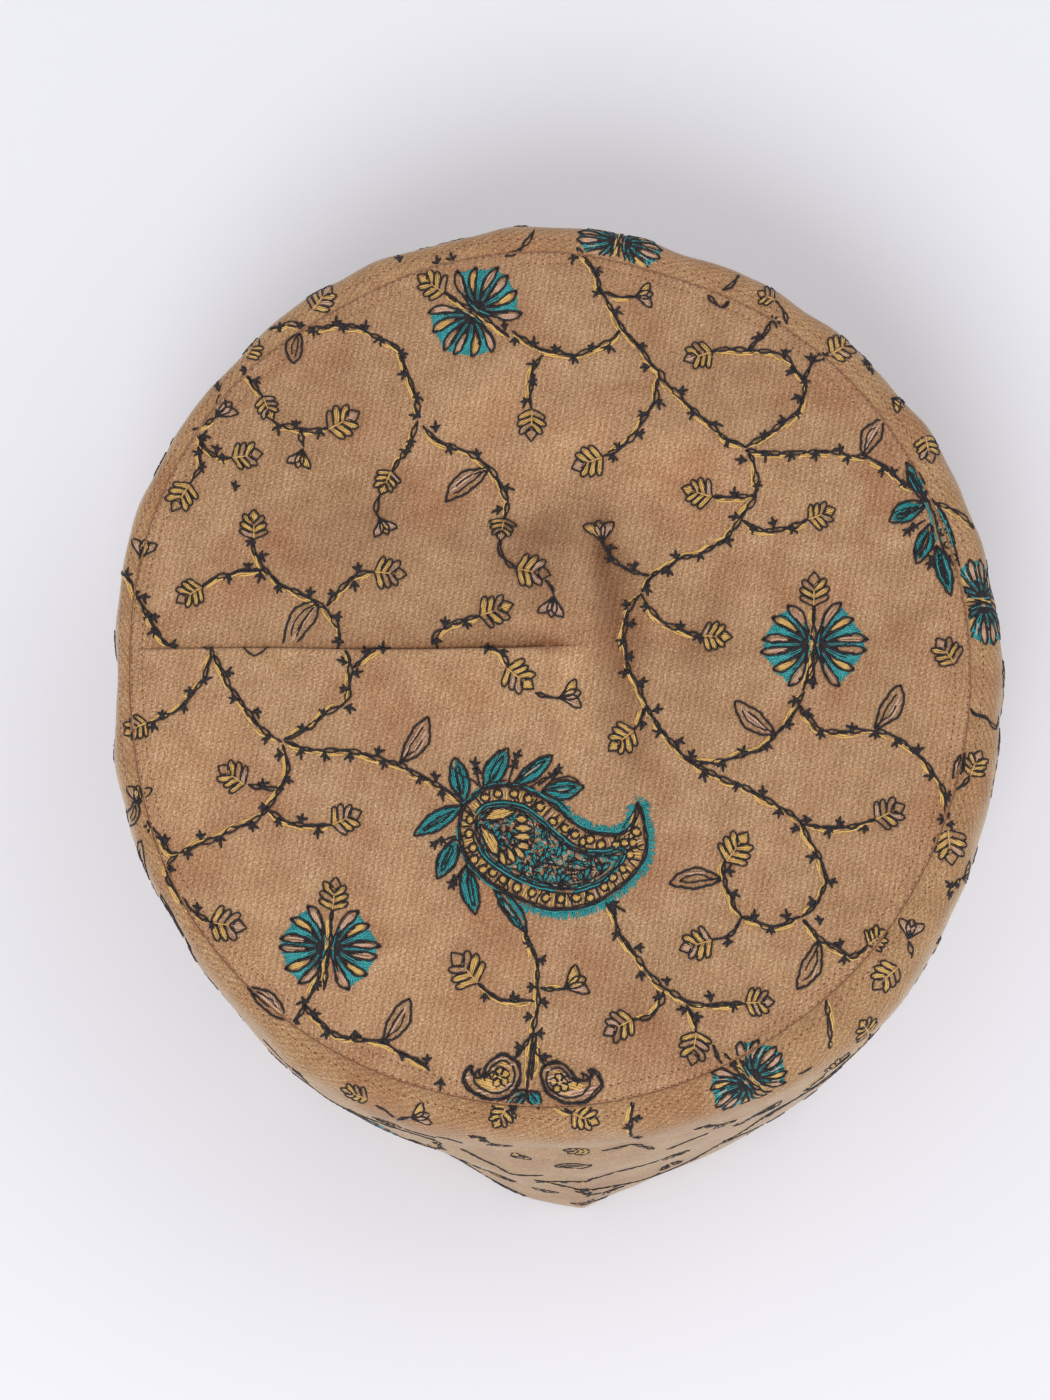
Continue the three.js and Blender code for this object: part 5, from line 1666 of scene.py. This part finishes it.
# ---- threads --------------------------------------------------------------------------------------------
def build_threads(panel, colour):
    mine = [s for s in STROKES if s[0] == panel and s[1] == colour and len(s[2]) >= 2]
    if not mine:
        return
    place = crown_place if panel == "crown" else band_place
    sides = 4
    if panel == "band":  # longer steps there, where the strokes are long and even
        def longer(line):
            at = np.linspace(0, len(line) - 1, max(3, int(math.ceil(len(line) * 0.78))))
            k = np.arange(len(line))
            return np.stack([np.interp(at, k, line[:, 0]), np.interp(at, k, line[:, 1])], -1)
        mine = [(s[0], s[1], longer(s[2]) if len(s[2]) >= 6 else s[2], *s[3:]) for s in mine]

    def apart(line):  # no two points of a stroke in one place
        keep = [0]
        for k in range(1, len(line)):
            if math.hypot(*(line[k] - line[keep[-1]])) > 0.03:
                keep.append(k)
        return line[keep]
    mine = [(s[0], s[1], apart(s[2]), *s[3:]) for s in mine]
    mine = [s for s in mine if len(s[2]) >= 2]
    limit = 170000 // (2 * sides)
    groups, batch, count = [], [], 0
    for s in mine:
        if count + len(s[2]) > limit and batch:
            groups.append(batch)
            batch, count = [], 0
        batch.append(s)
        count += len(s[2])
    groups.append(batch)
    local = np.random.default_rng(7 + len(mine))
    for g, batch in enumerate(groups):
        sizes = np.array([len(s[2]) for s in batch])
        total = sizes.sum()
        first = np.concatenate([[0], np.cumsum(sizes)[:-1]])
        last = first + sizes - 1
        uv = np.concatenate([s[2] for s in batch])
        half = np.repeat([s[3] for s in batch], sizes)
        high = np.repeat([s[4] for s in batch], sizes)
        lift = np.repeat([s[5] for s in batch], sizes)
        stitch = np.repeat([s[6] for s in batch], sizes)
        if panel == "band":  # the thread is drawn flat into the cloth there
            low = smooth((uv[:, 1] - 6.0) / 8.0)
            high, lift = high * (0.62 - 0.20 * low), lift * (0.55 - 0.15 * low)
        step = np.hypot(*np.diff(uv, axis=0, prepend=uv[:1]).T)
        step[first] = 0
        arc = np.cumsum(step)
        arc = arc - np.repeat(arc[first], sizes)
        whole = np.repeat(arc[last], sizes)
        shift = np.repeat(local.uniform(0, 3, len(batch)), sizes)
        knot = np.where(stitch > 0, (0.5 + 0.5 * np.cos((arc + shift) * TURN / np.maximum(stitch, 0.1))) ** 4, 0)
        half = half * (1 - 0.22 * knot)
        lift = lift - 0.12 * knot
        ends = np.minimum(arc, whole - arc)
        dip = smooth(1 - ends / 0.55)
        lift = lift - (0.22 + 0.5 * lift) * dip
        half = half * (1 - 0.40 * dip)
        p, n = place(uv[:, 0], uv[:, 1], lift)
        tangent = np.empty_like(p)
        tangent[1:-1] = p[2:] - p[:-2]
        tangent[first] = p[np.minimum(first + 1, total - 1)] - p[first]
        tangent[last] = p[last] - p[np.maximum(last - 1, 0)]
        tangent /= np.linalg.norm(tangent, axis=1, keepdims=True) + 1e-9
        n = n - tangent * (n * tangent).sum(1, keepdims=True)
        n /= np.linalg.norm(n, axis=1, keepdims=True) + 1e-9
        b = np.cross(tangent, n)
        phi = np.arange(sides) * TURN / sides + np.pi / 2
        ring = (p[:, None] + b[:, None] * (half[:, None] * np.cos(phi))[..., None]
                + n[:, None] * (high[:, None] * np.sin(phi))[..., None])
        verts = ring.reshape(-1, 3)
        start_c = p[first] - tangent[first] * (half[first] * 0.7)[:, None] - n[first] * 0.05
        end_c = p[last] + tangent[last] * (half[last] * 0.7)[:, None] - n[last] * 0.05
        base = len(verts)
        verts = np.concatenate([verts, start_c, end_c])
        idx = np.arange(total)
        body = idx[~np.isin(idx, last)]
        k = np.arange(sides)
        k2 = (k + 1) % sides
        q = np.stack([body[:, None] * sides + k, body[:, None] * sides + k2, (body[:, None] + 1) * sides + k2,
                      (body[:, None] + 1) * sides + k], -1).reshape(-1, 4)
        c0 = np.stack([np.broadcast_to(base + np.arange(len(batch))[:, None], (len(batch), sides)),
                       first[:, None] * sides + k2, first[:, None] * sides + k], -1).reshape(-1, 3)
        c1 = np.stack([np.broadcast_to(base + len(batch) + np.arange(len(batch))[:, None], (len(batch), sides)),
                       last[:, None] * sides + k, last[:, None] * sides + k2], -1).reshape(-1, 3)
        seed = np.repeat(local.uniform(0, 40, len(batch)), sizes)
        s0, s1 = (arc + seed)[body], (arc + seed)[body + 1]
        ka, kb = k / sides, (k + 1) / sides
        quv = np.stack([np.stack([np.broadcast_to(s0[:, None], (len(body), sides)), np.broadcast_to(ka, (len(body), sides))], -1),
                        np.stack([np.broadcast_to(s0[:, None], (len(body), sides)), np.broadcast_to(kb, (len(body), sides))], -1),
                        np.stack([np.broadcast_to(s1[:, None], (len(body), sides)), np.broadcast_to(kb, (len(body), sides))], -1),
                        np.stack([np.broadcast_to(s1[:, None], (len(body), sides)), np.broadcast_to(ka, (len(body), sides))], -1)],
                       2)
        cap0 = np.zeros((len(batch) * sides, 3, 2))
        cap0[..., 0] = np.repeat((arc + seed)[first], sides)[:, None]
        cap0[..., 1] = np.tile(ka, len(batch))[:, None]
        cap1 = cap0.copy()
        cap1[..., 0] = np.repeat((arc + seed)[last], sides)[:, None]
        mat, slot = THREADS[colour]
        label = {"ink": "ink", "yellow": "yellow", "teal": "teal", "beige": "beige", "seam": "sewing"}[colour]
        name = f"{panel}_{label}_{g + 1}"
        outward(mesh_object(name, verts, [q, c0, c1], {"strand": [quv, cap0, cap1]}, mat))
        print("piece", name, "triangles", 2 * len(q) + len(c0) + len(c1))


for panel in ("crown", "band"):
    for colour in ("ink", "yellow", "teal", "beige", "seam"):
        build_threads(panel, colour)

# ---------------------------------------------------------------------------------------------------------
# Floor, light, camera
# ---------------------------------------------------------------------------------------------------------
def floor():
    me = bpy.data.meshes.new("floor")
    me.from_pydata([(-6, -6, -0.0002), (6, -6, -0.0002), (6, 6, -0.0002), (-6, 6, -0.0002)], [], [(0, 1, 2, 3)])
    m = Nodes("pale_floor")
    geo = m.new("ShaderNodeTexCoord")
    tone = m.noise(geo.outputs["Object"], 1.3, 2.0, 0.5)
    colour = m.ramp(tone, [(0.3, srgb(227, 229, 235)), (0.7, srgb(232, 234, 239))])
    m.put(m.shader, {"Base Color": colour, "Roughness": 0.8, "Specular IOR Level": 0.15})
    me.materials.append(m.mat)
    ob = bpy.data.objects.new("floor", me)
    bpy.context.scene.collection.objects.link(ob)


floor()


def area_light(name, at, toward, size, power, colour):
    data = bpy.data.lights.new(name, "AREA")
    data.shape = "DISK"
    data.size = size
    data.energy = power
    data.color = colour
    ob = bpy.data.objects.new(name, data)
    ob.location = at
    from mathutils import Vector
    ob.rotation_euler = (Vector(toward) - Vector(at)).to_track_quat("-Z", "Y").to_euler()
    bpy.context.scene.collection.objects.link(ob)


area_light("key", (-0.32, -1.70, 2.15), (0, 0, 0.05), 1.2, 34.0, (0.97, 0.99, 1.03))
area_light("fill", (1.3, 0.9, 2.2), (0, 0, 0.05), 1.6, 6.0, (1.0, 0.98, 0.98))

world = bpy.data.worlds.new("studio")
world.use_nodes = True
world.node_tree.nodes["Background"].inputs[0].default_value = (1.0, 0.965, 0.975, 1.0)
world.node_tree.nodes["Background"].inputs[1].default_value = 0.76
bpy.context.scene.world = world
bpy.context.scene.view_settings.view_transform = "Standard"

cam_data = bpy.data.cameras.new("camera")
cam_data.sensor_fit = "AUTO"
cam_data.sensor_width = 36.0
cam_data.lens = FOCAL / 1400.0 * 36.0
cam_data.clip_start = 0.01
cam_data.clip_end = 50.0
camera = bpy.data.objects.new("camera", cam_data)
camera.location = tuple((CAM + MIDDLE) / 1000.0)
camera.rotation_euler = (math.radians(90.0 - CAM_ELEVATION), 0.0, 0.0)
bpy.context.scene.collection.objects.link(camera)
bpy.context.scene.camera = camera
